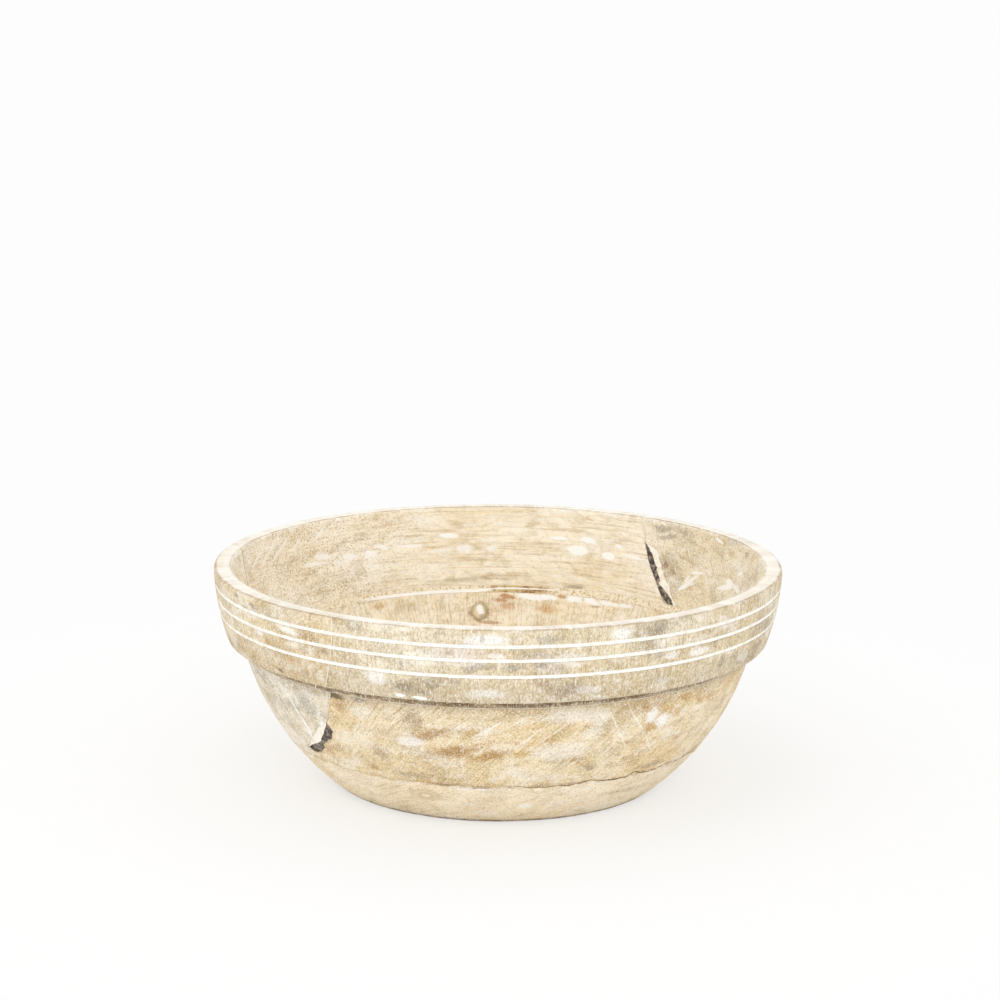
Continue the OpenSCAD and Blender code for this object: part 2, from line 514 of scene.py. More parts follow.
    @classmethod
    def finish(cls, piece: bpy.types.Object, material: bpy.types.Material, node: str, slot: str) -> None:
        """Smooths and dresses a piece and puts it in a CAD node's place.

        Args:
            piece: the piece.
            material: its finish.
            node: the node that it stands for.
            slot: the record's material slot; not used.
        """
        cls.only(piece)
        bpy.ops.object.shade_smooth_by_angle(angle=math.radians(SMOOTH_ANGLE))
        piece.data.materials.clear()
        piece.data.materials.append(material)
        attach(piece, "root")
        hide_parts(node)
        LOG.info("%s: %d faces", piece.name, len(piece.data.polygons))


@dataclass(frozen=True)
class NodeKind:
    """A kind of shader node: its type, its inputs in the order of use, its output and its settings."""

    type: str
    inputs: tuple[int | str, ...] = ()
    out: int | str = 0
    settings: tuple[tuple[str, str], ...] = ()


MIX = NodeKind("ShaderNodeMix", (0, 6, 7), 2, (("data_type", "RGBA"),))
EASE = NodeKind(
    "ShaderNodeMapRange",
    ("Value", "From Min", "From Max", "To Min", "To Max"),
    settings=(("interpolation_type", "SMOOTHSTEP"),),
)
TIMES = NodeKind("ShaderNodeMath", (0, 1), settings=(("operation", "MULTIPLY"),))
TIMES_PLUS = NodeKind("ShaderNodeMath", (0, 1, 2), settings=(("operation", "MULTIPLY_ADD"),))
MINUS = NodeKind("ShaderNodeMath", (0, 1), settings=(("operation", "SUBTRACT"),))
ABSOLUTE = NodeKind("ShaderNodeMath", (0,), settings=(("operation", "ABSOLUTE"),))
SINE = NodeKind("ShaderNodeMath", (0,), settings=(("operation", "SINE"),))
ARCTAN2 = NodeKind("ShaderNodeMath", (0, 1), settings=(("operation", "ARCTAN2"),))
SCALE = NodeKind("ShaderNodeVectorMath", (0, "Scale"), settings=(("operation", "SCALE"),))
VECTOR_TIMES = NodeKind("ShaderNodeVectorMath", (0, 1), settings=(("operation", "MULTIPLY"),))
VECTOR_TIMES_PLUS = NodeKind("ShaderNodeVectorMath", (0, 1, 2), settings=(("operation", "MULTIPLY_ADD"),))
UNIT = NodeKind("ShaderNodeVectorMath", (0,), settings=(("operation", "NORMALIZE"),))
DOT = NodeKind("ShaderNodeVectorMath", (0, 1), "Value", (("operation", "DOT_PRODUCT"),))
LENGTH = NodeKind("ShaderNodeVectorMath", (0,), "Value", (("operation", "LENGTH"),))
COMBINE = NodeKind("ShaderNodeCombineXYZ", ("X", "Y"))
OBJECT_PLACE = NodeKind("ShaderNodeTexCoord", out="Object")
SEEN_DIRECTLY = NodeKind("ShaderNodeLightPath", out="Is Camera Ray")
MAPPING = NodeKind(
    "ShaderNodeMapping", ("Vector", "Location", "Rotation", "Scale"), settings=(("vector_type", "TEXTURE"),)
)
NOISE = NodeKind("ShaderNodeTexNoise", ("Vector", "Scale", "Detail", "Roughness"))
BALL = NodeKind("ShaderNodeTexGradient", ("Vector",), "Fac", (("gradient_type", "SPHERICAL"),))
BUMP = NodeKind("ShaderNodeBump", ("Height", "Distance", "Strength"))
PRINCIPLED = NodeKind(
    "ShaderNodeBsdfPrincipled", ("Base Color", "Roughness", "Normal", "Specular IOR Level")
)
DIFFUSE = NodeKind("ShaderNodeBsdfDiffuse", ("Color",))
GLOW = NodeKind("ShaderNodeEmission", ("Color", "Strength"))
MIX_SHADER = NodeKind("ShaderNodeMixShader", (0, 1, 2))
OUTPUT = NodeKind("ShaderNodeOutputMaterial", ("Surface",))


@dataclass(frozen=True)
class Pattern:
    """A noise whose features have a real size along each axis, in millimetres.

    The seed moves the pattern, so that no two are alike, detail and rough set its finer octaves, and the
    angle turns it from the first axis to the second, in degrees. High and low are the noise's values
    between which the tone of its crests and the tone of its hollows come in.
    """

    size: tuple[float, float, float]
    seed: float = 0.0
    detail: float = 3.0
    rough: float = 0.6
    angle: float = 0.0
    high: Point = (0.50, 0.68)
    low: Point = (0.48, 0.32)


@dataclass(frozen=True)
class Places:
    """Sockets that say where on the bowl a shaded point is, in millimetres.

    The drum and unrolled places lie on an even drum, the turn is from the front in radians, and front says
    how far the point faces to the front right, from minus one to one.
    """

    place: Socket
    drum: Socket
    unrolled: Socket
    radius: Socket
    height: Socket
    turn: Socket
    front: Socket


class Graph:
    """A material's node tree."""

    def __init__(self, name: str) -> None:
        """Makes an empty material.

        Args:
            name: the material's name.
        """
        self.material = bpy.data.materials.new(name)
        self.material.use_nodes = True
        self.tree = self.material.node_tree
        self.tree.nodes.clear()

    def add(self, kind: NodeKind, *terms: Socket | float | Sequence[float]) -> Socket | None:
        """Adds a node with its settings and links.

        Args:
            kind: the kind of node.
            *terms: a value or a socket for each of the kind's inputs, in order.

        Returns:
            The kind's output, or nothing where the node has none.
        """
        node = self.tree.nodes.new(kind.type)
        for key, value in kind.settings:
            setattr(node, key, value)
        for key, term in zip(kind.inputs, terms):
            if isinstance(term, Socket):
                self.tree.links.new(term, node.inputs[key])
            else:
                node.inputs[key].default_value = term
        return node.outputs[kind.out] if len(node.outputs) else None

    def grain(self, vector: Socket, pattern: Pattern, seed: float = 0.0) -> Socket:
        """Draws a noise.

        Args:
            vector: the place, in millimetres.
            pattern: the noise.
            seed: sets the noise apart from others of its pattern.

        Returns:
            A value about one half.
        """
        moved = seed + pattern.seed
        away = tuple(step * moved for step in SEED_STEPS)
        place = self.add(MAPPING, vector, away, (0.0, 0.0, math.radians(pattern.angle)), pattern.size)
        return self.add(NOISE, place, 1.0, pattern.detail, pattern.rough)

    def places(self, drum_r: float) -> Places:
        """Works out where on the bowl a shaded point is.

        Args:
            drum_r: radius of the even drum that the bowl is unrolled on, in millimetres.

        Returns:
            The places.
        """
        place = self.add(SCALE, self.add(OBJECT_PLACE), 1.0 / MM)
        flat = self.add(VECTOR_TIMES, place, (1.0, 1.0, 0.0))
        heading = self.add(UNIT, flat)
        drum = self.add(VECTOR_TIMES_PLUS, heading, (drum_r,) * 3, self.add(VECTOR_TIMES, place, UP))
        height = self.add(DOT, place, UP)
        turn = self.add(ARCTAN2, self.add(DOT, heading, RIGHT), self.add(DOT, heading, FRONT))
        return Places(
            place=place,
            drum=drum,
            unrolled=self.add(COMBINE, self.add(TIMES, turn, drum_r), height),
            radius=self.add(LENGTH, flat),
            height=height,
            turn=turn,
            front=self.add(DOT, heading, FRONT_RIGHT),
        )

    def surface(self, colour: Socket, roughness: float, bump: Socket, depth: float) -> bpy.types.Material:
        """Ends the tree in a matt surface.

        Args:
            colour: the colour's socket.
            roughness: how matt it is.
            bump: the height's socket, from nought to one.
            depth: the relief's depth, in millimetres.

        Returns:
            The material.
        """
        relief = self.add(BUMP, bump, depth * MM, 1.0)
        self.add(OUTPUT, self.add(PRINCIPLED, colour, roughness, relief, MATT_SHINE))
        return self.material


@dataclass(frozen=True)
class Mark:
    """A stain, knot, patch of wash or scar at one place on the wood.

    The azimuth is in degrees from the bowl's right, the height and the two half lengths in millimetres.
    How soft and ragged its edge is goes by its own half lengths, and a stain's edge is the usual one.
    """

    azimuth: float
    height: float
    size: Point
    tone: str
    strength: float = 0.6
    tilt: float = 0.0
    soft: float = 0.8
    ragged: float = 2.2
    side: Side = Side.OUTSIDE

    @property
    def on_top(self) -> bool:
        """True for what lies on the worn surface, such as chips and white patches."""
        return self.soft <= 0.5

    def place(self, sizes: BowlSizes) -> Vector:
        """Finds the mark's middle on the turned surface.

        Args:
            sizes: the bowl's sizes.

        Returns:
            The place in millimetres.
        """
        turn = math.radians(self.azimuth)
        radius = sizes.surface(self.side, self.height)
        return Vector((radius * math.cos(turn), radius * math.sin(turn), self.height))

    def lies_between(self, low: float, high: float) -> bool:
        """Says whether any of the mark, laid level, is between two heights."""
        return low - self.size[1] < self.height < high + self.size[1]


@dataclass(frozen=True)
class Look:
    """How one side of a block looks: its tones and how much of each shows."""

    pale: str
    tan: str
    brown: str
    grey: str
    browned: float = 0.35
    greyed: float = 0.35
    washed: float = 0.35
    ticks: float = 0.0
    rounds: float = 0.0
    scratches: float = 0.0
    scratch_angle: float = 35.0
    specked: float = 0.5
    speck: Point = (1.1, 1.1)
    sanded: float = 0.0


@dataclass(frozen=True)
class Timber:
    """Whitewashed mango: a pale hardwood, sanded, limed and wiped back.

    The white stays in pores and low places, so the eye sees mottled cream and tan with chalky patches.
    """

    name: str
    outside: Look
    inside: Look
    seed: float
    white: str = "#fdf9f0"
    # Dark pores, year rings and dirt, and also the painted shade under the band's step and at the foot
    dirt_and_shade: str = "#8a6c47"
    # Painted shade and dirt in the corner under the band's step
    corner_shade_and_dirt: str = "#6f5735"
    # Painted shade in the fine lines along the rim's rounded edges
    edge_shade: str = "#a07c50"
    # A painted highlight on the rim's flat top
    top_highlight: str = "#fffaf0"
    olive: str = "#cdb985"
    olive_share: float = 0.45
    roughness: float = 0.8
    relief: float = 0.3
    blotch_relief: float = 0.6
    pith: Point = (30.0, -60.0)
    board_angle: float = 21.0
    ring_gap: float = 6.0
    ring_share: float = 0.10
    ring_crest: Point = (0.3, 1.0)
    ring_warp: float = 46.0
    # A board's rings run nearly straight along it
    ring_shape: tuple[float, float, float] = (1.0, 0.05, 1.0)
    # Dark pores show less than limed ones
    dark_pore_share: float = 0.8
    # How far below the band's edge the painted shade and dirt in the step, and the darker painted shade and
    # dirt in its corner, start and are full
    step_shade_and_dirt_h: Point = (13.0, 0.5)
    step_shade_and_dirt_share: float = 0.6
    corner_shade_and_dirt_h: Point = (5.0, 2.8)
    corner_shade_and_dirt_share: float = 0.9
    # Heights from the band's edge between which the wall's painted shade and dirt go over to the band's
    # darkening
    band_edge_h: Point = (-0.1, 0.5)
    # The band gets darker towards its bottom edge, from where this starts to where it is full
    band_darkening_h: Point = (17.0, 4.0)
    band_darkening_share: float = 0.20
    # Painted contact shade along the foot's bottom edge, where it meets the floor
    foot_contact_shade: Ramp = (2.4, 0.7, 0.0, 0.85)
    seam_darkening_t: float = 0.2
    # How far dirt reaches from the base seam and a darkening from above the rim seam, and how much of each
    # shows
    base_seam_dirt: Point = (2.2, 0.6)
    rim_seam_darkening: Point = (3.0, 0.25)
    rim_seam_rise: float = 1.5
    # The painted highlight on the rim's flat starts this far outside its inner edge and ends this far inside
    # its outer edge
    highlight_inset: float = 1.5
    lip_inset: float = 1.3
    edge_line_t: float = 0.25
    edge_line_half: float = 0.75
    lip_line_half: float = 0.80
    # Depths under the rim's top, and ways from its two lines, over which the painted highlight on the rim's
    # flat comes in
    rim_top_h: Point = (1.5, 0.6)
    highlight_blur: float = 0.4
    lip_blur: Point = (0.5, -0.3)
    # How far from the line between them the outside goes over to the inside
    split_blur: float = 1.0
    cloud: Pattern = Pattern((46.0, 46.0, 36.0), 0.0, 4.0, high=(0.36, 0.64))
    blotch: Pattern = Pattern((17.0, 17.0, 10.0), 0.7, 5.0, 0.68, high=(0.50, 0.70))
    patch: Pattern = Pattern((30.0, 30.0, 18.0), 1.1, 5.0, 0.64, high=(0.50, 0.66))
    tick: Pattern = Pattern((1.3, 1.3, 12.0), 1.2)
    streak: Pattern = Pattern((42.0, 42.0, 1.2), 1.3, 4.0, 0.64, low=(0.47, 0.32))
    scar: Pattern = Pattern((26.0, 0.8, 1.0), 1.4, 2.0, high=(0.60, 0.72), low=(0.42, 0.28))
    cross_scar: Pattern = replace(scar, seed=1.5)
    cross_lean: float = 1.4
    # The scratches' end towards the back, as turns from the front in radians
    scratch_end: Point = (2.9, 2.4)
    drift: Pattern = Pattern((13.0, 13.0, 7.0), 2.7, 6.0, 0.66, high=(0.52, 0.66))
    wash: Pattern = Pattern((20.0, 20.0, 12.0), 1.7, 7.0, 0.72, high=(0.51, 0.62))
    speck: Pattern = Pattern((1.1, 1.1, 1.1), 2.3, 3.0, 0.75, high=(0.53, 0.68), low=(0.49, 0.34))
    sanded: Pattern = Pattern((16.0, 16.0, 10.0), 3.1, 4.0)
    pore: Pattern = Pattern((1.1, 1.1, 1.0), 3.3, 3.0, 0.8, high=(0.53, 0.64), low=(0.49, 0.38))
    # How the sanding grows to the left, by ways to the right, and how patchy it is
    sanded_left: Ramp = (-15.0, -100.0, 0.15, 1.0)
    sanded_patches: Ramp = (0.36, 0.60, 0.6, 1.0)
    fray: Pattern = Pattern((4.5, 4.5, 3.0), 1.9, 7.0, 0.80)
    soil: Pattern = Pattern((9.0, 9.0, 3.0), 2.1, 5.0, 0.7)
    rim_patchiness: Pattern = Pattern((14.0, 14.0, 6.0), 2.9, 5.0, 0.7)
    # How patchy the painted shade and dirt are under the band and in its corner, the painted contact shade
    # at the foot, and the darkening along the seams
    step_patches: Ramp = (0.30, 0.62, 0.35, 1.0)
    deep_patches: Ramp = (0.34, 0.56, 0.25, 1.0)
    foot_patches: Ramp = (0.35, 0.55, 0.3, 1.0)
    seam_patches: Ramp = (0.42, 0.60, 0.0, 1.0)
    # How the darkening along the seams grows towards the front right
    seam_front: Ramp = (0.3, 0.9, 0.2, 1.0)
    # How patchy the painted highlight on the rim and the painted shade in its edge lines are, and how the
    # lines grow, by ways to the back
    highlight_patches: Ramp = (0.66, 0.36, 0.50, 0.95)
    edge_patches: Ramp = (0.38, 0.62, 0.15, 0.8)
    edge_behind: Ramp = (0.0, 80.0, 0.25, 1.0)
    lip_before: Ramp = (60.0, -20.0, 0.0, 0.7)

    def tone(self, g: Graph, look: Look, at: Places, cloud: Socket, blotch: Socket) -> Socket:
        """Mixes the tones of one side.

        Args:
            g: the material's tree.
            look: the tones.
            at: where on the bowl a point is.
            cloud: broad noise.
            blotch: middling noise.

        Returns:
            The side's colour.
        """
        white, brown, grey = linear(self.white), linear(look.brown), linear(look.grey)
        colour = g.add(MIX, g.add(EASE, cloud, *self.cloud.high), linear(look.pale), linear(look.tan))
        colour = g.add(MIX, g.add(EASE, blotch, *self.blotch.high, 0.0, look.browned), colour, brown)
        patch = g.grain(at.place, self.patch, self.seed)
        colour = g.add(MIX, g.add(EASE, patch, *self.patch.high, 0.0, look.greyed), colour, grey)
        if look.ticks:
            tick = g.grain(at.drum, self.tick, self.seed)
            colour = g.add(MIX, g.add(EASE, tick, *self.tick.high, 0.0, look.ticks), colour, grey)
            colour = g.add(MIX, g.add(EASE, tick, *self.tick.low, 0.0, look.ticks), colour, white)
        if look.rounds:
            streak = g.grain(at.drum, self.streak, self.seed)
            colour = g.add(MIX, g.add(EASE, streak, *self.streak.high, 0.0, look.rounds), colour, brown)
            colour = g.add(MIX, g.add(EASE, streak, *self.streak.low, 0.0, look.rounds), colour, white)
        if look.scratches:
            # The unrolled place jumps at the back, so the scratches fade out before it
            seen = g.add(EASE, g.add(ABSOLUTE, at.turn), *self.scratch_end, 0.0, look.scratches)
            for pattern, lean in ((self.scar, 1.0), (self.cross_scar, self.cross_lean)):
                scar = g.grain(at.unrolled, replace(pattern, angle=lean * look.scratch_angle), self.seed)
                colour = g.add(MIX, g.add(TIMES, g.add(EASE, scar, *pattern.high), seen), colour, white)
                colour = g.add(MIX, g.add(TIMES, g.add(EASE, scar, *pattern.low), seen), colour, brown)
        drift = g.grain(at.place, self.drift, self.seed)
        shown = g.add(EASE, drift, *self.drift.high, 0.0, self.olive_share)
        colour = g.add(MIX, shown, colour, linear(self.olive))
        wash = g.grain(at.place, self.wash, self.seed)
        return g.add(MIX, g.add(EASE, wash, *self.wash.high, 0.0, look.washed), colour, white)

    def specks(self, g: Graph, look: Look, at: Places, colour: Socket) -> Socket:
        """Strews the pores of one side, some dark and some full of lime.

        Args:
            g: the material's tree.
            look: the side's look.
            at: where on the bowl a point is.
            colour: the colour so far.

        Returns:
            The specked colour.
        """
        white, dirt_and_shade = linear(self.white), linear(self.dirt_and_shade)
        wide, tall = look.speck
        where = at.place if wide == tall else at.drum
        speck = g.grain(where, replace(self.speck, size=(wide, wide, tall)), self.seed)
        dark_share = self.dark_pore_share * look.specked
        colour = g.add(MIX, g.add(EASE, speck, *self.speck.high, 0.0, dark_share), colour, dirt_and_shade)
        colour = g.add(MIX, g.add(EASE, speck, *self.speck.low, 0.0, look.specked), colour, white)
        if look.sanded:
            # The left of the hollow was sanded across the grain, so its pores stand open
            right = g.add(DOT, at.place, RIGHT)
            sanded = g.grain(at.place, self.sanded, self.seed)
            leftward = g.add(EASE, right, *self.sanded_left)
            worn = g.add(TIMES, leftward, g.add(EASE, sanded, *self.sanded_patches))
            share = g.add(TIMES, worn, look.sanded)
            pore = g.grain(at.place, self.pore, self.seed)
            dark = g.add(EASE, pore, *self.pore.high)
            dark = g.add(TIMES, dark, g.add(TIMES, share, self.dark_pore_share))
            colour = g.add(MIX, dark, colour, dirt_and_shade)
            limed = g.add(TIMES, g.add(EASE, pore, *self.pore.low), share)
            colour = g.add(MIX, limed, colour, white)
        return colour

    def marked(
        self, g: Graph, colour: Socket, at: Places, sizes: BowlSizes, marks: Sequence[Mark]
    ) -> Socket:
        """Lays the marks over the colour.

        Args:
            g: the material's tree.
            colour: the colour so far.
            at: where on the bowl a point is.
            sizes: the bowl's sizes.
            marks: the marks on this timber.

        Returns:
            The colour with its marks.
        """
        fray = g.grain(at.place, self.fray, self.seed)
        for mark in marks:
            facing = math.radians(mark.azimuth) + mark.side.value * math.pi / 2.0
            half_lengths = (mark.size[0], MARK_DEPTH, mark.size[1])
            # A ball's gradient is one at the mark's middle and nought where its reach ends
            own = g.add(
                MAPPING,
                at.place,
                mark.place(sizes),
                (0.0, math.radians(mark.tilt), facing),
                tuple(MARK_REACH * half for half in half_lengths),
            )
            frayed = g.add(TIMES_PLUS, fray, -mark.ragged / MARK_REACH, g.add(BALL, own))
            edge = 1.0 + 0.5 * mark.ragged
            start, full = (1.0 - way / MARK_REACH for way in (edge, edge - mark.soft))
            cover = g.add(EASE, frayed, start, full, 0.0, mark.strength)
            colour = g.add(MIX, cover, colour, linear(mark.tone))
        return colour

    def soiled_and_shaded(self, g: Graph, colour: Socket, at: Places, outer: Socket, sizes: BowlSizes) -> Socket:
        """Adds dirt along the base seam and a darkening above the rim seam, painted shade and dirt under the
        band's step, painted contact shade at the foot, and a darkening of the band's lower part.

        Args:
            g: the material's tree.
            colour: the colour so far.
            at: where on the bowl a point is.
            outer: one on the outside, nought on the inside.
            sizes: the bowl's sizes.

        Returns:
            The soiled colour.
        """
        band_z = sizes.band_z
        patchy = g.grain(at.drum, self.soil, self.seed)
        dirt_and_shade = linear(self.dirt_and_shade)
        inner = g.add(MINUS, 1.0, outer)
        # Painted shade and dirt under the band's overhang, broadly and then more darkly right in the corner
        edge_low, edge_high = (band_z + way for way in self.band_edge_h)
        under = g.add(EASE, at.height, edge_low, edge_high, 1.0, 0.0)
        start, full = (band_z - way for way in self.step_shade_and_dirt_h)
        broad = g.add(EASE, at.height, start, full, 0.0, self.step_shade_and_dirt_share)
        shown = g.add(TIMES, g.add(TIMES, broad, under), outer)
        shown = g.add(TIMES, shown, g.add(EASE, patchy, *self.step_patches))
        colour = g.add(MIX, shown, colour, dirt_and_shade)
        start, full = (band_z - way for way in self.corner_shade_and_dirt_h)
        deep = g.add(EASE, at.height, start, full, 0.0, self.corner_shade_and_dirt_share)
        shown = g.add(TIMES, g.add(TIMES, deep, under), outer)
        shown = g.add(TIMES, shown, g.add(EASE, patchy, *self.deep_patches))
        colour = g.add(MIX, shown, colour, linear(self.corner_shade_and_dirt))
        # Painted contact shade along the foot's bottom edge
        foot = g.add(EASE, at.height, *self.foot_contact_shade)
        colour = g.add(MIX, g.add(TIMES, foot, g.add(EASE, patchy, *self.foot_patches)), colour, dirt_and_shade)
        # Darker towards the band's bottom edge
        start, full = (band_z + way for way in self.band_darkening_h)
        low_band = g.add(EASE, at.height, start, full, 0.0, self.band_darkening_share)
        above = g.add(EASE, at.height, edge_low, edge_high)
        colour = g.add(MIX, g.add(TIMES, g.add(TIMES, low_band, above), outer), colour, dirt_and_shade)
        rim_seam_z = sizes.rim_z + self.rim_seam_rise
        seams = ((sizes.wall_z, self.base_seam_dirt, outer), (rim_seam_z, self.rim_seam_darkening, inner))
        for z, (reach, share), face in seams:
            off = g.add(ABSOLUTE, g.add(MINUS, at.height, z))
            near = g.add(EASE, off, reach, self.seam_darkening_t, 0.0, share)
            faced = g.add(EASE, at.front, *self.seam_front)
            some = g.add(TIMES, g.add(EASE, patchy, *self.seam_patches), faced)
            colour = g.add(MIX, g.add(TIMES, g.add(TIMES, near, face), some), colour, dirt_and_shade)
        return colour

    def edged(self, g: Graph, colour: Socket, at: Places, sizes: BowlSizes) -> Socket:
        """Adds a painted highlight on the rim's flat top and painted shade in the fine lines along its
        rounded edges.

        Args:
            g: the material's tree.
            colour: the colour so far.
            at: where on the bowl a point is.
            sizes: the bowl's sizes.

        Returns:
            The colour with its rim.
        """
        edge_r = sizes.rim_d / 2.0 - sizes.rim_t + self.highlight_inset
        lip_r = sizes.rim_d / 2.0 - self.lip_inset
        patchy = g.grain(at.drum, self.rim_patchiness, self.seed)
        # Painted highlight: the rim's flat top made paler, as it faces up to the light
        top = g.add(EASE, at.height, *(sizes.bowl_h - way for way in self.rim_top_h))
        outward = g.add(EASE, at.radius, edge_r - self.highlight_blur, edge_r + self.highlight_blur)
        inward = g.add(EASE, at.radius, *(lip_r + way for way in self.lip_blur))
        flat = g.add(TIMES, outward, inward)
        shown = g.add(TIMES, g.add(TIMES, top, flat), g.add(EASE, patchy, *self.highlight_patches))
        colour = g.add(MIX, shown, colour, linear(self.top_highlight))
        # Painted shade in fine lines along the rim's rounded edges: the inner line is strong at the back,
        # and the outer one shows at the sides and the front
        back = g.add(DOT, at.place, BACK)
        broken = g.add(TIMES, top, g.add(EASE, patchy, *self.edge_patches))
        behind = g.add(EASE, back, *self.edge_behind)
        before = g.add(EASE, back, *self.lip_before)
        lines = ((edge_r, self.edge_line_half, behind), (lip_r, self.lip_line_half, before))
        for radius, half, side in lines:
            off = g.add(ABSOLUTE, g.add(MINUS, at.radius, radius))
            line = g.add(EASE, off, half, self.edge_line_t)
            shown = g.add(TIMES, g.add(TIMES, broken, line), side)
            colour = g.add(MIX, shown, colour, linear(self.edge_shade))
        return colour

    def ringed(self, g: Graph, colour: Socket, at: Places, cloud: Socket) -> Socket:
        """Draws the board's year rings, faint and warped.

        Args:
            g: the material's tree.
            colour: the colour so far.
            at: where on the bowl a point is.
            cloud: broad noise.

        Returns:
            The colour with its rings.
        """
        pith = (self.pith[0], 0.0, self.pith[1])
        board = g.add(MAPPING, at.place, pith, (0.0, 0.0, math.radians(self.board_angle)))
        reach = g.add(LENGTH, g.add(VECTOR_TIMES, board, self.ring_shape))
        warped = g.add(TIMES_PLUS, cloud, self.ring_warp, reach)
        ring = g.add(SINE, g.add(TIMES, warped, FULL_TURN / self.ring_gap))
        shown = g.add(EASE, ring, *self.ring_crest, 0.0, self.ring_share)
        return g.add(MIX, shown, colour, linear(self.dirt_and_shade))

    def material(
        self, sizes: BowlSizes, split: tuple[Point, Point], marks: Sequence[Mark]
    ) -> bpy.types.Material:
        """Builds the timber's material.

        Args:
            sizes: the bowl's sizes.
            split: two points in radius and height, on the line between the wall's two sides.
            marks: the marks on this block.

        Returns:
            The material.
        """
        g = Graph(self.name)
        at = g.places(sizes.rim_d / 2.0)
        cloud = g.grain(at.place, self.cloud, self.seed)
        blotch = g.grain(at.place, self.blotch, self.seed)
        speck = g.grain(at.place, self.speck, self.seed)
        (low_r, low_z), (high_r, high_z) = split
        slope = (high_r - low_r) / (high_z - low_z)
        middle = g.add(TIMES_PLUS, at.height, slope, low_r - slope * low_z)
        outer = g.add(EASE, g.add(MINUS, at.radius, middle), -self.split_blur, self.split_blur)
        inside = self.tone(g, self.inside, at, cloud, blotch)
        colour = g.add(MIX, outer, inside, self.tone(g, self.outside, at, cloud, blotch))
        colour = self.ringed(g, colour, at, cloud)
        colour = self.marked(g, colour, at, sizes, [mark for mark in marks if not mark.on_top])
        colour = self.soiled_and_shaded(g, colour, at, outer, sizes)
        inside = self.specks(g, self.inside, at, colour)
        colour = g.add(MIX, outer, inside, self.specks(g, self.outside, at, colour))
        colour = self.edged(g, colour, at, sizes)
        colour = self.marked(g, colour, at, sizes, [mark for mark in marks if mark.on_top])
        uneven = g.add(TIMES_PLUS, blotch, self.blotch_relief, speck)
        return g.surface(colour, self.roughness, uneven, self.relief)


@dataclass(frozen=True)
class Filling:
    """Something pressed or poured in: white wood filler, lime putty, dark resin or dried glue.

    Two mottled tones, so that filler looks chalky and resin looks like clouded amber.
    """

    name: str
    main: str
    other: str
    share: float
    mottle: float
    roughness: float
    # How much of the other tone shows away from the front right
    left: float = 0.0
    relief: float = 0.12
    fine: Pattern = Pattern((0.8, 0.8, 0.8), 4.0)
    # Between which values of the mottle, and how far from the front right, the other tone comes in
    mottled: Point = (0.44, 0.62)
    leftward: Point = (0.95, 0.6)

    def material(self) -> bpy.types.Material:
        """Builds the filling's material.

        Returns:
            The material.
        """
        g = Graph(self.name)
        at = g.places(1.0)
        mottle = g.grain(at.place, Pattern((self.mottle,) * 3, seed=3.0, detail=5.0, rough=0.7))
        fine = g.grain(at.place, self.fine)
        main, other = linear(self.main), linear(self.other)
        colour = g.add(MIX, g.add(EASE, mottle, *self.mottled, 0.0, self.share), main, other)
        if self.left:
            colour = g.add(MIX, g.add(EASE, at.front, *self.leftward, 0.0, self.left), colour, other)
        return g.surface(colour, self.roughness, fine, self.relief)


@dataclass(frozen=True)
class SeamWash:
    """White filler that was wiped along the seam: a ragged white line on the tan of bare wood.

    Ways to the right are from the axis and heights from the filler's bottom edge, in millimetres.
    """

    name: str = "white wood filler on bare mango"
    white: str = "#fffdf8"
    bare: str = "#cdb585"
    clean: str = "#f7ecd6"
    void: str = "#96683a"
    roughness: float = 0.85
    relief: float = 0.3
    # The line is low and wide at the left, and high and narrow at the right
    left_line_z: float = 0.9
    right_line_z: float = 2.2
    left_line_half: float = 0.85
    right_line_half: float = 0.35
    line_fray: float = 1.4
    line_blur: Point = (0.15, -0.10)
    # Where it climbs and narrows, and where it comes in at the left end and at the right end
    climb: Point = (-14.0, 4.0)
    narrowing: Point = (-12.0, 2.0)
    left_end: Point = (-86.0, -62.0)
    right_end: Point = (44.0, 24.0)
    # The bare, torn stretch
    void_x: float = 13.0
    void_reach: Ramp = (22.0, 10.0, 0.0, 0.9)
    rag: Pattern = Pattern((4.5, 4.5, 2.6), 6.0, 5.0, 0.7, high=(0.48, 0.58))
    speck: Pattern = Pattern((1.4, 1.4, 1.4), 7.0, 4.0, 0.7, high=(0.50, 0.60))

    def material(self, sizes: BowlSizes) -> bpy.types.Material:
        """Builds the seam filler's material.

        Args:
            sizes: the bowl's sizes.

        Returns:
            The material.
        """
        g = Graph(self.name)
        at = g.places(sizes.rim_d / 2.0)
        bare = linear(self.bare)
        rag = g.grain(at.drum, self.rag)
        right = g.add(DOT, at.place, RIGHT)
        left_z, right_z = sizes.filler_z + self.left_line_z, sizes.filler_z + self.right_line_z
        middle = g.add(EASE, right, *self.climb, left_z, right_z)
        half = g.add(EASE, right, *self.narrowing, self.left_line_half, self.right_line_half)
        off = g.add(ABSOLUTE, g.add(MINUS, at.height, middle))
        clear = g.add(MINUS, g.add(MINUS, off, half), self.line_fray / 2.0)
        line = g.add(EASE, g.add(TIMES_PLUS, rag, self.line_fray, clear), *self.line_blur)
        ends = g.add(TIMES, g.add(EASE, right, *self.left_end), g.add(EASE, right, *self.right_end))
        speck = g.grain(at.place, self.speck)
        worn = g.add(MIX, g.add(EASE, rag, *self.rag.high), bare, linear(self.void))
        apart = g.add(ABSOLUTE, g.add(MINUS, right, self.void_x))
        near = g.add(EASE, apart, *self.void_reach)
        specked = g.add(MIX, g.add(EASE, speck, *self.speck.high), linear(self.clean), bare)
        colour = g.add(MIX, near, specked, worn)
        colour = g.add(MIX, g.add(TIMES, line, ends), colour, linear(self.white))
        return g.surface(colour, self.roughness, speck, self.relief)


class FillEdge(Enum):
    """An edge of the fillings in an open joint; the value is its column in the rows of the joint's shape."""

    RESIN_START = 1
    MEETING = 2
    PUTTY_END = 3


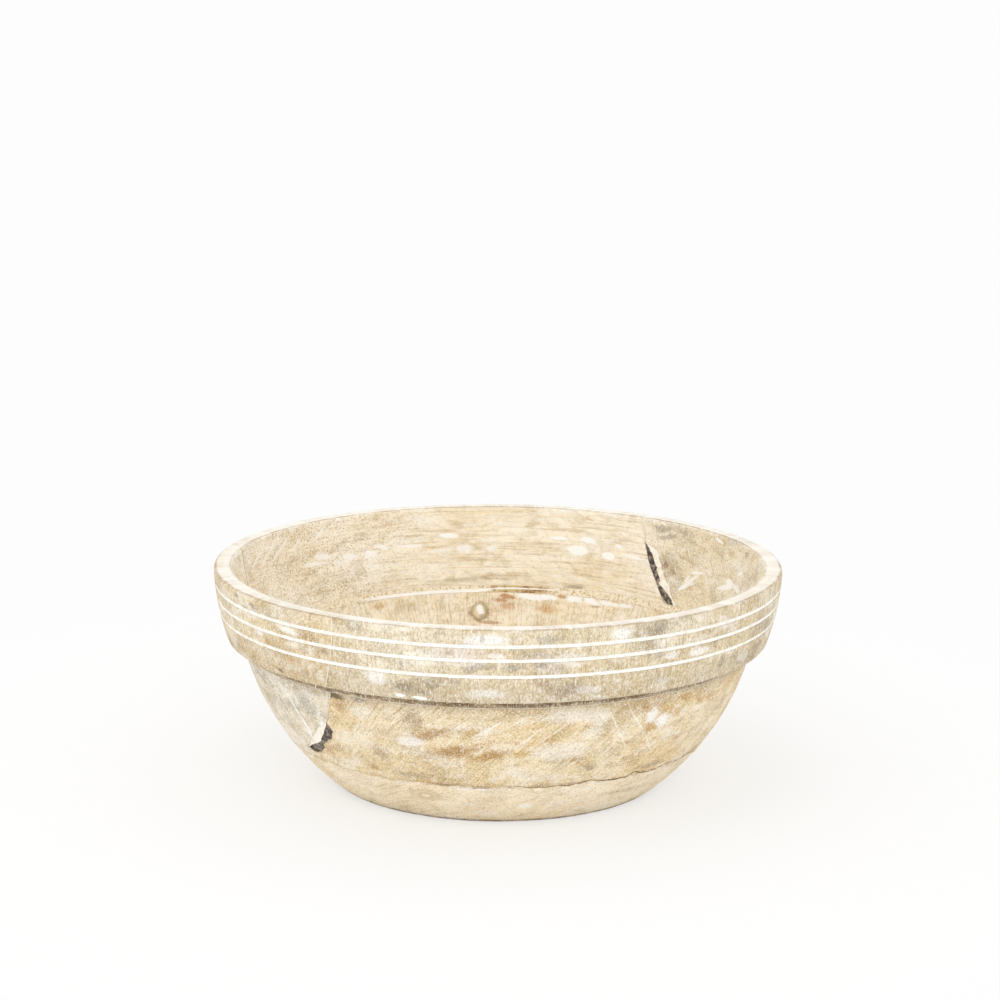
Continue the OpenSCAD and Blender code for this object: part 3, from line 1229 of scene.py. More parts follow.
@dataclass(frozen=True)
class OpenJoint:
    """A place where a plank joint stands open and was filled with resin and putty.

    Each row of the shape has a height and, measured over the joint away from the axis, where the resin
    starts, where it meets the putty and where the putty ends.
    """

    name: str
    sizes: BowlSizes
    joint: Plank
    side: Side
    depth: float
    sink: float
    flush: float
    seed: float
    shape: tuple[tuple[float, float, float, float], ...]
    # How far the fillings run into the wood behind the gap, and the gap's cutter stands off the surface
    overrun: float = 0.2
    cutter_proud: float = 4.0
    glue_clearance: float = 0.3
    glue_margin: float = 0.6
    glue_reach: float = 3.0
    fray_share: float = 0.12
    frayed_width: float = 4.0
    fray_length: float = 1.6
    pit_depth: float = 0.5
    pit_share: float = 0.6
    pit_size: Point = (1.5, 2.5)
    cuts: int = 36

    @property
    def low(self) -> float:
        """Height of the gap's bottom."""
        return self.shape[0][0]

    @property
    def high(self) -> float:
        """Height of the gap's top."""
        return self.shape[-1][0]

    def edge(self, z: float, which: FillEdge) -> float:
        """Gives one ragged edge of the fillings at a height.

        Args:
            z: the height.
            which: the edge.

        Returns:
            The way over the joint, in millimetres.
        """
        for low, high in zip(self.shape, self.shape[1:]):
            if z <= high[0] + ROUNDING:
                share = (z - low[0]) / (high[0] - low[0])
                break
        column = which.value
        fray = noise.noise(Vector((z / self.fray_length, 7.0 * column, self.seed)))
        wide = low[3] - low[1] + share * (high[3] - high[1] - low[3] + low[1])
        ragged = self.fray_share * min(wide, self.frayed_width) * fray
        return low[column] + share * (high[column] - low[column]) + ragged

    def place(self, across: float, deep: float, z: float) -> Vector:
        """Finds a place in the joint.

        Args:
            across: the way over the joint, outwards from the axis, in millimetres.
            deep: the way into the wood from the surface.
            z: the height.

        Returns:
            The place in millimetres.
        """
        radius = self.sizes.surface(self.side, z) - self.side.value * deep
        off = self.joint.distance + across
        run = math.sqrt(max(radius**2 - off**2, 1.0))
        return self.joint.normal * off + self.joint.along * run + Vector((0.0, 0.0, z))

    def slab(self, name: str, start: FillEdge, stop: FillEdge, top: float) -> bpy.types.Object:
        """Makes a ragged slab that lies in the joint.

        Args:
            name: the slab's name.
            start: the edge that it starts at.
            stop: the edge that it ends at.
            top: depth of its face below the wood's surface.

        Returns:
            The slab.
        """
        bpy.ops.object.select_all(action="DESELECT")
        bpy.ops.mesh.primitive_cube_add(size=2.0)
        slab = bpy.context.active_object
        slab.name = name
        slab.data.name = name
        bpy.ops.object.mode_set(mode="EDIT")
        bpy.ops.mesh.select_all(action="SELECT")
        bpy.ops.mesh.subdivide(number_cuts=self.cuts)
        bpy.ops.object.mode_set(mode="OBJECT")
        pitted = min(self.pit_depth, self.pit_share * top)
        wide, tall = self.pit_size
        for vertex in slab.data.vertices:
            x, y, up = (0.5 * c + 0.5 for c in vertex.co)
            z = self.low + (self.high - self.low) * up
            first, last = self.edge(z, start), self.edge(z, stop)
            across = first + (last - first) * x
            pit = pitted * noise.noise(Vector((across / wide, z / tall, self.seed + top)))
            deep = (top + pit if top > 0.0 else top) * (1.0 - y) + (self.depth + self.overrun) * y
            vertex.co = self.place(across, deep, z) * MM
        Lathe.close(slab)
        return slab

    def cut_out(self, *pieces: bpy.types.Object) -> None:
        """Takes the gap out of the pieces that it runs through.

        Args:
            *pieces: the pieces.
        """
        start, stop = FillEdge.RESIN_START, FillEdge.PUTTY_END
        cutter = self.slab(f"{self.name}_cutter", start, stop, -self.cutter_proud)
        for piece in pieces:
            Lathe.carve(piece, cutter)
        bpy.data.objects.remove(cutter, do_unlink=True)

    def spare(self, place: Vector, _normal: Vector) -> Vector:
        """Moves a vertex of the joint's glue line out of the gap.

        Args:
            place: the vertex's place, in millimetres.
            _normal: its normal, which has no part in this.

        Returns:
            The move.
        """
        in_reach = self.low - self.glue_margin < place.z < self.high + self.glue_margin
        if not in_reach or place.dot(self.joint.along) < 0.0:
            return Vector()
        deep = self.side.value * (self.sizes.surface(self.side, place.z) - place.xy.length)
        if deep >= self.glue_reach:
            return Vector()
        return level(place) * -self.side.value * (self.depth + self.glue_clearance - deep)

    def fill(self, resin: bpy.types.Material, putty: bpy.types.Material) -> None:
        """Pours the resin and presses the putty in.

        Args:
            resin: the dark filling's material.
            putty: the white filling's material.
        """
        poured = self.slab(f"{self.name}_resin_pour", FillEdge.RESIN_START, FillEdge.MEETING, self.sink)
        Lathe.finish(poured, resin, f"{self.name}_resin", "dark_resin")
        pressed = self.slab(f"{self.name}_putty_press", FillEdge.MEETING, FillEdge.PUTTY_END, self.flush)
        Lathe.finish(pressed, putty, f"{self.name}_putty", "white_filler")


@dataclass(frozen=True)
class Sway:
    """The waviness of the seam between the base board and the wall, outside."""

    sizes: BowlSizes
    height: float = 1.5
    reach: float = 5.0
    fine_share: float = 0.4
    # How finely the noise goes round the bowl
    waves: float = 9.0
    ripples: float = 30.0

    def move(self, place: Vector, _normal: Vector) -> Vector:
        """Moves a vertex up or down.

        Args:
            place: the vertex's place, in millimetres.
            _normal: its normal, which has no part in this.

        Returns:
            The move.
        """
        s = self.sizes
        near = 1.0 - abs(place.z - s.base_top_z) / self.reach
        edge = 1.0 - (s.wall.at(min(max(place.z, 0.0), s.band_z)) - place.xy.length) / self.reach
        if near <= 0.0 or edge <= 0.0:
            return Vector()
        radial = level(place)
        wave = noise.noise(radial * self.waves) + self.fine_share * noise.noise(radial * self.ripples)
        return Vector((0.0, 0.0, self.height * wave * near * min(edge, 1.0)))


@dataclass(frozen=True)
class Nicks:
    """Nicks along one edge of a block, more and deeper towards the front right."""

    height: float
    depth: float
    reach: float
    # How finely the noise goes round the bowl
    waves: float = 12.0
    ripples: float = 50.0
    least: float = 0.25
    taper: float = 1.5
    # How much of the edge is nicked, and how much the coarse and the fine noise have in it
    usual: float = 0.1
    coarse_share: float = 0.9
    fine_share: float = 0.55

    def move(self, place: Vector, seed: float) -> float:
        """Gives how far a vertex is worn into the wood.

        Args:
            place: the vertex's place, in millimetres.
            seed: sets the nicks apart from other blocks'.

        Returns:
            The depth.
        """
        gap = abs(place.z - self.height)
        if gap >= self.reach:
            return 0.0
        radial = level(place)
        coarse = noise.noise(radial * self.waves + Vector((0.0, 0.0, seed + self.height)))
        fine = noise.noise(radial * self.ripples + Vector((0.0, seed, self.height)))
        nick = max(0.0, self.usual + self.coarse_share * coarse + self.fine_share * fine)
        share = self.least + (1.0 - self.least) * max(0.0, radial.dot(Vector(FRONT_RIGHT)))
        return self.depth * share * nick * (1.0 - gap / self.reach) ** self.taper


@dataclass(frozen=True)
class Wear:
    """The wear of a block: a hand-finished unevenness, eased plank joints and nicks along its seams."""

    sizes: BowlSizes
    seed: float
    nicks: Sequence[Nicks]
    joints: Sequence[Plank] = ()
    dent: float = 0.12
    dent_length: float = 9.0
    ease_reach: float = 0.7
    ease_length: float = 5.0
    # A joint's easing, as shares of its depth: the least, the usual and how far it strays
    least_ease: float = 0.1
    usual_ease: float = 0.5
    ease_stray: float = 0.8
    # What is nearer the axis than this stays as turned
    axis_clear: float = 1.0

    def move(self, place: Vector, normal: Vector) -> Vector:
        """Moves a vertex as wear has left it.

        Args:
            place: the vertex's place, in millimetres.
            normal: its normal.

        Returns:
            The move.
        """
        if place.xy.length < self.axis_clear:
            return Vector()
        uneven = noise.noise(place / self.dent_length + Vector((self.seed, 0.0, 0.0)))
        shift = normal * -self.dent * (1.0 + uneven) + Sway(self.sizes).move(place, normal)
        inward = level(place) * (-1.0 if self.sizes.is_outside(place) else 1.0)
        for nicks in self.nicks:
            shift += inward * nicks.move(place, self.seed)
        for joint in self.joints:
            gap = abs(place.dot(joint.normal) - joint.distance)
            if gap < self.ease_reach:
                broken = noise.noise(Vector((place.z / self.ease_length, self.seed, joint.angle)))
                share = max(self.least_ease, self.usual_ease + self.ease_stray * broken)
                shift += inward * joint.ease * share * (1.0 - gap / self.ease_reach)
        return shift


@dataclass(frozen=True)
class BaseBoard:
    """The board with the foot and the bottom of the hollow."""

    sizes: BowlSizes
    timber: Timber
    marks: Sequence[Mark]
    nick_depth: float = 1.1
    nick_reach: float = 1.8
    # The line between the outside's look and the inside's, as heights and a depth under the outside
    split_heights: Point = (8.0, 26.0)
    split_depth: float = 8.0
    # Directions between which the foot's edge is round, in degrees
    foot_round: Point = (-90.0, -43.0)
    foot_points: int = 16
    floor_points: int = 20

    def outline(self) -> list[Point]:
        """Draws foot, outer wall, glued face and the bottom of the hollow.

        Returns:
            The closed outline, in radius and height.
        """
        s = self.sizes
        foot = (s.wall.at(s.foot_edge_r, -s.foot_edge_r), s.foot_edge_r)
        floor_z = s.floor_t + s.floor_fillet_r
        floor = (s.hollow.at(floor_z, -s.floor_fillet_r), floor_z)
        inner_r = s.hollow.at(s.base_top_z)
        touch = math.atan2(floor[1] - s.hollow.centre_z, floor[0] - s.hollow.centre_r)
        touch_z = s.hollow.centre_z + s.hollow.radius * math.sin(touch)
        outline = [(foot[0] * i / self.foot_points, 0.0) for i in range(self.foot_points)]
        outline += corner(foot, s.foot_edge_r, *self.foot_round)
        outline += s.wall.points(outline[-1][1] + AFTER_ROUND, s.base_top_z, s.step)
        outline += [(inner_r + (outline[-1][0] - inner_r) * f, s.base_top_z) for f in (0.7, 0.3)]
        if touch_z < s.base_top_z:
            outline += s.hollow.points(s.base_top_z, touch_z, s.step)
            start = math.degrees(touch)
        else:
            start = math.degrees(math.asin((s.base_top_z - floor[1]) / s.floor_fillet_r))
        outline += corner(floor, s.floor_fillet_r, start, -90.0, self.floor_points)[1:]
        steps = range(1, self.floor_points + 1)
        outline += [(floor[0] * (1.0 - i / self.floor_points), s.floor_t) for i in steps]
        return outline

    def build(self) -> None:
        """Turns, wears and dresses the board."""
        s = self.sizes
        board = Lathe.turn("base_board_wood", self.outline(), s.turn_steps)
        Lathe.wear(board, Wear(s, 1.0, [Nicks(s.base_top_z, self.nick_depth, self.nick_reach)]).move)
        split = tuple((s.wall.at(z) - self.split_depth, z) for z in self.split_heights)
        marks = [mark for mark in self.marks if mark.lies_between(0.0, s.base_top_z)]
        Lathe.finish(board, self.timber.material(s, split, marks), "base_board", "base_wood")


@dataclass(frozen=True)
class WallCourse:
    """The course of two blocks, glued along one plank joint, that makes the wall."""

    sizes: BowlSizes
    main: Timber
    side: Timber
    gap: OpenJoint
    marks: Sequence[Mark]
    nick_depth: float = 1.1
    nick_reach: float = 1.8
    seam_nick_depth: float = 0.15
    filler_nick_depth: float = 0.3
    seam_nick_reach: float = 1.0
    # The line between the outside's look and the inside's, as depths under the outside at two heights
    split_low: Point = (7.0, 30.0)
    split_high: Point = (5.0, 72.0)

    def outline(self) -> list[Point]:
        """Draws the course, with the rabbet for the seam's filler.

        Returns:
            The closed outline, in radius and height.
        """
        s = self.sizes
        back_r = s.hollow.at(s.filler_z) + s.seam_filler_depth
        outline = s.wall.points(s.wall_z, s.seam_z, s.step)
        outline += [(back_r, s.seam_z), (back_r, s.filler_z)]
        outline += s.hollow.points(s.filler_z, s.wall_z, s.step)
        return outline

    def build(self) -> None:
        """Turns the course, saws it into its blocks, opens the gap and wears and dresses the blocks."""
        s = self.sizes
        half = s.glue_t / 2.0
        joint = s.wall_joint
        split = tuple((s.wall.at(z) - depth, z) for depth, z in (self.split_low, self.split_high))
        blank = Lathe.turn("wall_main_wood", self.outline(), s.turn_steps)
        twin = Lathe.copy(blank, "wall_side_wood")
        Lathe.cut(blank, joint, -half, False)
        Lathe.cut(twin, joint, half, True)
        self.gap.cut_out(blank, twin)
        nicks = [
            Nicks(s.wall_z, self.nick_depth, self.nick_reach),
            Nicks(s.seam_z, self.seam_nick_depth, self.seam_nick_reach),
            Nicks(s.filler_z, self.filler_nick_depth, self.seam_nick_reach),
        ]
        Lathe.wear(blank, Wear(s, 2.0, nicks, [joint]).move)
        Lathe.wear(twin, Wear(s, 3.0, nicks, [joint]).move)
        here = [mark for mark in self.marks if mark.lies_between(s.wall_z, s.seam_z)]
        beyond = [mark for mark in here if joint.is_beyond(mark.place(s))]
        before = [mark for mark in here if mark not in beyond]
        Lathe.finish(blank, self.main.material(s, split, before), "wall_main_block", "wall_wood")
        Lathe.finish(twin, self.side.material(s, split, beyond), "wall_side_block", "wall_side_wood")


@dataclass(frozen=True)
class RimCourse:
    """The course of four blocks, glued along two plank joints, that makes the step, the band and the rim."""

    sizes: BowlSizes
    wide: Timber
    left: Timber
    right: Timber
    gap: OpenJoint
    marks: Sequence[Mark]
    seam_nick_depth: float = 0.15
    seam_nick_reach: float = 1.0
    band_nick_depth: float = 0.6
    band_nick_reach: float = 1.6
    # The line between the outside's look and the inside's, low in the step and on the rim's flat
    split_z: float = 73.0
    split_depth: float = 4.5
    rim_split_depth: float = 5.5
    # Directions between which each edge is round, in degrees
    band_round: Point = (-90.0, -12.0)
    outer_round: Point = (8.0, 90.0)
    inner_round: Point = (90.0, 172.0)
    step_points: int = 5
    flat_points: int = 6
    first_seed: int = 4

    def outline(self) -> list[Point]:
        """Draws the step, the band with its grooves, the rim and the inside.

        Returns:
            The closed outline, in radius and height.
        """
        s = self.sizes
        low_z = s.band_z + s.band_edge_r
        high_z = s.bowl_h - s.rim_outer_edge_r
        inner_z = s.bowl_h - s.rim_inner_edge_r
        band_edge = (s.band.at(low_z, -s.band_edge_r), low_z)
        outer_edge = (s.band.at(high_z, -s.rim_outer_edge_r), high_z)
        inner_edge = (s.hollow.at(inner_z, s.rim_inner_edge_r), inner_z)
        overhang = band_edge[0] - s.wall_top_r
        outline = s.wall.points(s.rim_z, s.band_z, s.step)
        shares = [i / self.step_points for i in range(1, self.step_points)]
        outline += [(s.wall_top_r + overhang * share, s.band_z) for share in shares]
        outline += corner(band_edge, s.band_edge_r, *self.band_round)
        start = outline[-1][1] + AFTER_ROUND
        for node in s.line_nodes:
            low, high = edge_height(node, False), edge_height(node, True)
            outline += s.band.points(start, low, s.step)
            outline += [(s.band.at(z) - s.line_depth, z) for z in (low, high)]
            start = high
        outline += s.band.points(start, outer_edge[1], s.step)
        outline += corner(outer_edge, s.rim_outer_edge_r, *self.outer_round)
        width = outer_edge[0] - inner_edge[0]
        shares = [i / self.flat_points for i in range(1, self.flat_points)]
        outline += [(outer_edge[0] - width * share, s.bowl_h) for share in shares]
        outline += corner(inner_edge, s.rim_inner_edge_r, *self.inner_round)
        outline += s.hollow.points(outline[-1][1] - AFTER_ROUND, s.rim_z, s.step)
        return outline

    def saw(self) -> dict[str, bpy.types.Object]:
        """Turns the course, saws it into its blocks and opens the gap.

        Returns:
            Each block by its place on the rim.
        """
        s = self.sizes
        half = s.glue_t / 2.0
        blank = Lathe.turn("rim_front_wood", self.outline(), s.turn_steps)
        blocks = {name: Lathe.copy(blank, f"rim_{name}_wood") for name in ("back", "left", "right")}
        blocks["front"] = blank
        along = s.rim_right.along
        for name, way in (("front", 1.0), ("back", -1.0)):
            for joint in (s.rim_right, s.rim_left):
                Lathe.cut(blocks[name], joint, -half, False)
            Lathe.drop(blocks[name], lambda place: place.dot(along) * way > 0.0)
        Lathe.cut(blocks["left"], s.rim_left, half, True)
        Lathe.cut(blocks["right"], s.rim_right, half, True)
        self.gap.cut_out(blocks["back"], blocks["right"])
        return blocks

    def build(self) -> None:
        """Saws, wears and dresses the blocks."""
        s = self.sizes
        split = (
            (s.wall.at(self.split_z) - self.split_depth, self.split_z),
            (s.rim_d / 2.0 - self.rim_split_depth, s.bowl_h),
        )
        blocks = self.saw()
        here = [mark for mark in self.marks if mark.lies_between(s.rim_z, s.bowl_h)]
        left = [mark for mark in here if s.rim_left.is_beyond(mark.place(s))]
        right = [mark for mark in here if s.rim_right.is_beyond(mark.place(s))]
        wide = [mark for mark in here if mark not in left + right]
        wide_wood = self.wide.material(s, split, wide)
        finishes = {
            "front": (wide_wood, "rim_wood"),
            "back": (wide_wood, "rim_wood"),
            "left": (self.left.material(s, split, left), "rim_left_wood"),
            "right": (self.right.material(s, split, right), "rim_right_wood"),
        }
        nicks = [
            Nicks(s.rim_z, self.seam_nick_depth, self.seam_nick_reach),
            Nicks(s.band_z, self.band_nick_depth, self.band_nick_reach),
        ]
        for seed, (name, piece) in enumerate(blocks.items(), self.first_seed):
            Lathe.wear(piece, Wear(s, float(seed), nicks, [s.rim_left, s.rim_right]).move)
            material, slot = finishes[name]
            Lathe.finish(piece, material, f"rim_{name}_block", slot)


@dataclass(frozen=True)
class TurnedLines:
    """The white fillings of the three lines that are turned into the band."""

    sizes: BowlSizes
    filler: Filling
    edge_sink: float = 0.18
    crown_sink: float = 0.06
    settled: float = 0.16
    ripples: float = 55.0

    def settle(self, place: Vector, seed: int) -> Vector:
        """Moves a vertex as its line's filler has sunk, unevenly, with a seed for each line."""
        uneven = noise.noise(level(place) * self.ripples + Vector((0.0, 0.0, seed)))
        return level(place) * -self.settled * (1.0 + uneven)

    def build(self) -> None:
        """Turns and dresses a ring of filler for each line."""
        s = self.sizes
        material = self.filler.material()
        for seed, node in enumerate(s.line_nodes):
            low, high = edge_height(node, False), edge_height(node, True)
            bottom_r = s.band.at(low) - s.line_depth
            outline = [(bottom_r, low), (s.band.at(low) - self.edge_sink, low)]
            heights = [low + share * (high - low) for share in (0.25, 0.5, 0.75)]
            outline += [(s.band.at(z) - self.crown_sink, z) for z in heights]
            outline += [(s.band.at(high) - self.edge_sink, high), (bottom_r, high)]
            ring = Lathe.turn(f"{node}_filler", outline, s.turn_steps)
            Lathe.wear(ring, lambda place, normal: self.settle(place, seed))
            Lathe.finish(ring, material, node, "white_filler")


@dataclass(frozen=True)
class SeamFiller:
    """The white filler in the seam between the courses, inside."""

    sizes: BowlSizes
    wash: SeamWash
    face_sink: float = 0.05
    settled: float = 0.22
    waves: float = 30.0
    ripples: float = 90.0
    step: float = 0.6
    # What lies this near the back of the rabbet stays where it is
    held: float = 1.0

    @property
    def back_r(self) -> float:
        """Radius of the rabbet's back."""
        return self.sizes.hollow.at(self.sizes.filler_z) + self.sizes.seam_filler_depth

    def settle(self, place: Vector, _normal: Vector) -> Vector:
        """Lets the face of the filler sink unevenly.

        Args:
            place: the vertex's place, in millimetres.
            _normal: its normal, which has no part in this.

        Returns:
            The vertex's move.
        """
        if place.xy.length > self.back_r - self.held:
            return Vector()
        rough = noise.noise(level(place) * self.waves + Vector((0.0, 0.0, place.z / 2.0)))
        fine = noise.noise(level(place) * self.ripples + Vector((0.0, 5.0, place.z)))
        return level(place) * self.settled * max(0.0, 0.6 + rough + 0.5 * fine)

    def build(self) -> None:
        """Turns, settles and dresses the ring of filler."""
        s = self.sizes
        face = [(r + self.face_sink, z) for r, z in s.hollow.points(s.filler_z, s.seam_z, self.step)]
        outline = [(self.back_r, s.seam_z), (self.back_r, s.filler_z)] + face
        ring = Lathe.turn("seam_filler_wash", outline, s.turn_steps)
        Lathe.wear(ring, self.settle)
        Lathe.finish(ring, self.wash.material(s), "seam_filler", "white_filler")


@dataclass(frozen=True)
class GlueLines:
    """The glue lines, level ones between courses and upright ones between planks."""

    sizes: BowlSizes
    wall: WallCourse
    rim: RimCourse
    glue: Filling
    pale: Filling
    turn_steps: int = 360
    base_inner_inset: float = 0.6
    base_outer_inset: float = 0.2
    course_inner_inset: float = 0.12
    course_outer_inset: float = 0.25
    wall_inset: float = 0.2
    rim_left_inset: float = 0.03
    rim_right_inset: float = 0.08

    def level_film(self, node: str, span: Point, heights: Point, material: bpy.types.Material) -> None:
        """Lays a level film between two courses.

        Args:
            node: the film's node.
            span: its inner and outer radius.
            heights: its bottom and top.
            material: its finish.
        """
        inner, outer = span
        low, high = heights
        middle = (inner + outer) / 2.0
        outline = [(inner, low), (middle, low), (outer, low), (outer, high), (middle, high), (inner, high)]
        film = Lathe.turn(f"{node}_film", outline, self.turn_steps)
        Lathe.wear(film, Sway(self.sizes).move)
        Lathe.finish(film, material, node, "glue")

    def upright_film(
        self, node: str, joint: Plank, course: WallCourse | RimCourse, top_z: float, inset: float,
        gap: OpenJoint | None, material: bpy.types.Material,
    ) -> None:
        """Lays an upright film in a plank joint.

        Args:
            node: the film's node.
            joint: the joint.
            course: the course whose planks it joins.
            top_z: the course's top.
            inset: how far the film stays behind the wood's surface.
            gap: the open place in the joint, if any.
            material: its finish.
        """
        s = self.sizes
        shrunk = []
        for r, z in course.outline():
            way = -inset if s.is_outside(Vector((r, 0.0, z))) else inset
            shrunk.append((r + way, min(z, top_z - inset)))
        film = Lathe.turn(f"{node}_film", shrunk, self.turn_steps)
        if gap:
            Lathe.wear(film, gap.spare)
        Lathe.cut(film, joint, -s.glue_t / 2.0, True)
        Lathe.cut(film, joint, s.glue_t / 2.0, False)
        Lathe.close(film)
        Lathe.finish(film, material, node, "glue")

    def build(self) -> None:
        """Lays and dresses the five films."""
        s = self.sizes
        dark, limed = self.glue.material(), self.pale.material()
        inner = s.hollow.at(s.base_top_z) + self.base_inner_inset
        outer = s.wall.at(s.base_top_z) - self.base_outer_inset
        self.level_film("base_glue_line", (inner, outer), (s.base_top_z, s.wall_z), dark)
        inner = s.hollow.at(s.rim_z) + self.course_inner_inset
        outer = s.wall.at(s.seam_z) - self.course_outer_inset
        self.level_film("course_glue_line", (inner, outer), (s.seam_z, s.rim_z), limed)
        wall, rim = self.wall, self.rim
        self.upright_film("wall_joint_glue", s.wall_joint, wall, s.seam_z, self.wall_inset, wall.gap, limed)
        self.upright_film("rim_left_glue", s.rim_left, rim, s.bowl_h, self.rim_left_inset, None, limed)
        self.upright_film("rim_right_glue", s.rim_right, rim, s.bowl_h, self.rim_right_inset, rim.gap, limed)


@dataclass(frozen=True)
class Lamp:
    """A soft box: its power in watts, its size and its place in metres."""

    name: str
    energy: float
    size: float
    place: tuple[float, float, float]
    aim: tuple[float, float, float] = (0.0, 0.0, 0.06)

    def hang(self) -> None:
        """Hangs the soft box and points it at the bowl."""
        soft = bpy.data.lights.new(self.name, "AREA")
        soft.size = self.size
        soft.energy = self.energy
        lamp = bpy.data.objects.new(self.name, soft)
        place = Vector(self.place)
        turn = (Vector(self.aim) - place).to_track_quat("-Z", "Y")
        lamp.matrix_world = Matrix.Translation(place) @ turn.to_matrix().to_4x4()
        bpy.context.collection.objects.link(lamp)


@dataclass(frozen=True)
class Studio:
    """The pale floor, the soft light and the camera, in metres and degrees."""

    floor_size: float = 30.0
    paper: str = "#fdfdfc"
    room: str = "#fdfdfd"
    # The paper's shadow fades from the first way off the bowl's middle to the second
    fade: Point = (0.16, 0.55)
    least_glow: float = 0.60
    lens: float = 94.03
    sensor: float = 36.0
    camera_place: tuple[float, float, float] = (0.0, -1.350, 0.42306)
    camera_pitch: float = 11.497
    camera_roll: float = 0.423
    camera_shift: float = 0.00147
    lamps: tuple[Lamp, ...] = (
        Lamp("soft box", 2.0, 1.1, (-0.55, -0.75, 1.35)),
        Lamp("front fill", 4.0, 1.0, (0.1, -1.7, 0.35)),
    )

    def floor(self) -> None:
        """Lays a plain pale floor that keeps the bowl's shadow and fades to the white behind."""
        bpy.ops.object.select_all(action="DESELECT")
        bpy.ops.mesh.primitive_plane_add(size=self.floor_size)
        plane = bpy.context.active_object
        plane.name = "studio_floor"
        # Matt paper, near white, so that only the soft shadow draws it
        g = Graph("matt white paper")
        paper = g.add(DIFFUSE, linear(self.paper))
        glow = g.add(GLOW, linear(self.room), 1.0)
        away = g.add(LENGTH, g.add(OBJECT_PLACE))
        # Near the bowl the paper keeps part of its shadow, and further off it is the white of the room
        faded = g.add(EASE, away, *self.fade, self.least_glow, 1.0)
        seen = g.add(TIMES, faded, g.add(SEEN_DIRECTLY))
        g.add(OUTPUT, g.add(MIX_SHADER, seen, paper, glow))
        plane.data.materials.append(g.material)

    def lights(self) -> None:
        """Hangs soft boxes over and before the bowl and lights the room white."""
        world = bpy.data.worlds.new("white studio")
        world.use_nodes = True
        background = world.node_tree.nodes["Background"]
        background.inputs["Color"].default_value = linear(self.room)
        background.inputs["Strength"].default_value = 1.0
        bpy.context.scene.world = world
        for lamp in self.lamps:
            lamp.hang()

    def camera(self) -> None:
        """Stands the camera where the photograph was taken from."""
        lens = bpy.data.cameras.new("camera")
        lens.lens = self.lens
        lens.sensor_width = self.sensor
        lens.shift_x = self.camera_shift
        camera = bpy.data.objects.new("camera", lens)
        pitch = Matrix.Rotation(math.pi / 2.0 - math.radians(self.camera_pitch), 4, "X")
        roll = Matrix.Rotation(math.radians(self.camera_roll), 4, "Z")
        camera.matrix_world = Matrix.Translation(Vector(self.camera_place)) @ pitch @ roll
        bpy.context.collection.objects.link(camera)
        bpy.context.scene.camera = camera


# Shapes of the two open joints, read off one by one
WALL_GAP = (
    (31.3, -0.8, 1.4, 2.0),
    (33.0, -2.0, 2.6, 3.2),
    (36.0, -2.4, 2.4, 3.4),
    (38.5, -1.4, 0.8, 3.6),
    (41.0, -2.2, 0.2, 3.6),
    (45.0, -3.6, 0.2, 3.2),
    (49.5, -3.2, 0.0, 2.6),
    (52.0, -1.6, -0.2, 1.4),
    (53.3, -0.4, 0.0, 0.4),
)
RIM_GAP = (
    (73.2, 0.7, 2.4, 2.8),
    (75.5, 0.2, 2.6, 3.1),
    (78.5, -0.1, 2.2, 3.0),
    (81.0, 0.1, 1.3, 3.4),
    (82.2, 0.1, 0.8, 3.9),
    (84.0, 0.0, 1.5, 3.3),
    (88.5, -0.4, 1.7, 3.3),
    (93.0, -0.5, 1.7, 3.4),
    (96.5, -0.4, 1.6, 3.4),
    (98.5, -0.3, 1.3, 4.4),
    (100.0, -0.3, 1.0, 3.0),
    (101.4, -0.2, 0.5, 1.4),
    (102.2, -0.1, 0.1, 0.3),
)

TAN = Look(
    "#f4e3c0", "#e7cd9c", "#b28849", "#b0a080", 0.72, 0.40, 0.50, scratches=0.55,
    specked=0.74, speck=(1.0, 0.8),
)
BAND = Look(
    "#ebdfc4", "#dcc9a2", "#a5885a", "#a09178", 0.48, 0.62, 0.58, ticks=0.42,
    specked=0.66, speck=(0.8, 1.5),
)
LEFT_BAND = Look(
    "#f0e1c1", "#e0c798", "#a5804a", "#a2947d", 0.60, 0.40, 0.50, ticks=0.4, scratches=0.4,
    specked=0.6, speck=(0.9, 0.9),
)
INNER = Look(
    "#fff6e2", "#f8e8c9", "#bf9c64", "#c3b191", 0.42, 0.20, 0.50, rounds=0.52,
    specked=0.28, speck=(3.0, 0.8), sanded=0.9,
)
INNER_LEFT = Look(
    "#fff9e8", "#fbefd3", "#a98a4c", "#a99c74", 0.50, 0.28, 0.66, scratches=0.5,
    specked=0.50, speck=(0.95, 0.95), sanded=0.95,
)
INNER_RIGHT = Look(
    "#faf0db", "#efe0c0", "#a98d62", "#a89d86", 0.48, 0.52, 0.52, scratches=0.4,
    specked=0.8, speck=(0.9, 0.9),
)
LOWER = Look(
    "#fdf0d8", "#f6e4c0", "#bf9452", "#c0ab8b", 0.48, 0.15, 0.40, ticks=0.45,
    specked=0.5, speck=(1.2, 3.0),
)
BASE = Look(
    "#fff3dc", "#fae9c8", "#c6a06c", "#c8b592", 0.40, 0.25, 0.42, scratches=0.35, scratch_angle=12.0,
    specked=0.7, speck=(0.9, 0.9),
)
GREYED = Look(
    "#faf2e2", "#efe3cc", "#ab9674", "#9c9079", 0.40, 0.60, 0.60, scratches=0.5, scratch_angle=-50.0,
    specked=0.78, speck=(0.9, 0.9),
)

# Tones of the marks
WHITE = "#fffefb"
CREAM = "#f7ead0"
BROWN = "#b08a58"
GREY = "#938877"
ORANGE = "#cda256"
OLIVE = "#ab935a"
DARK = "#6a5a4a"
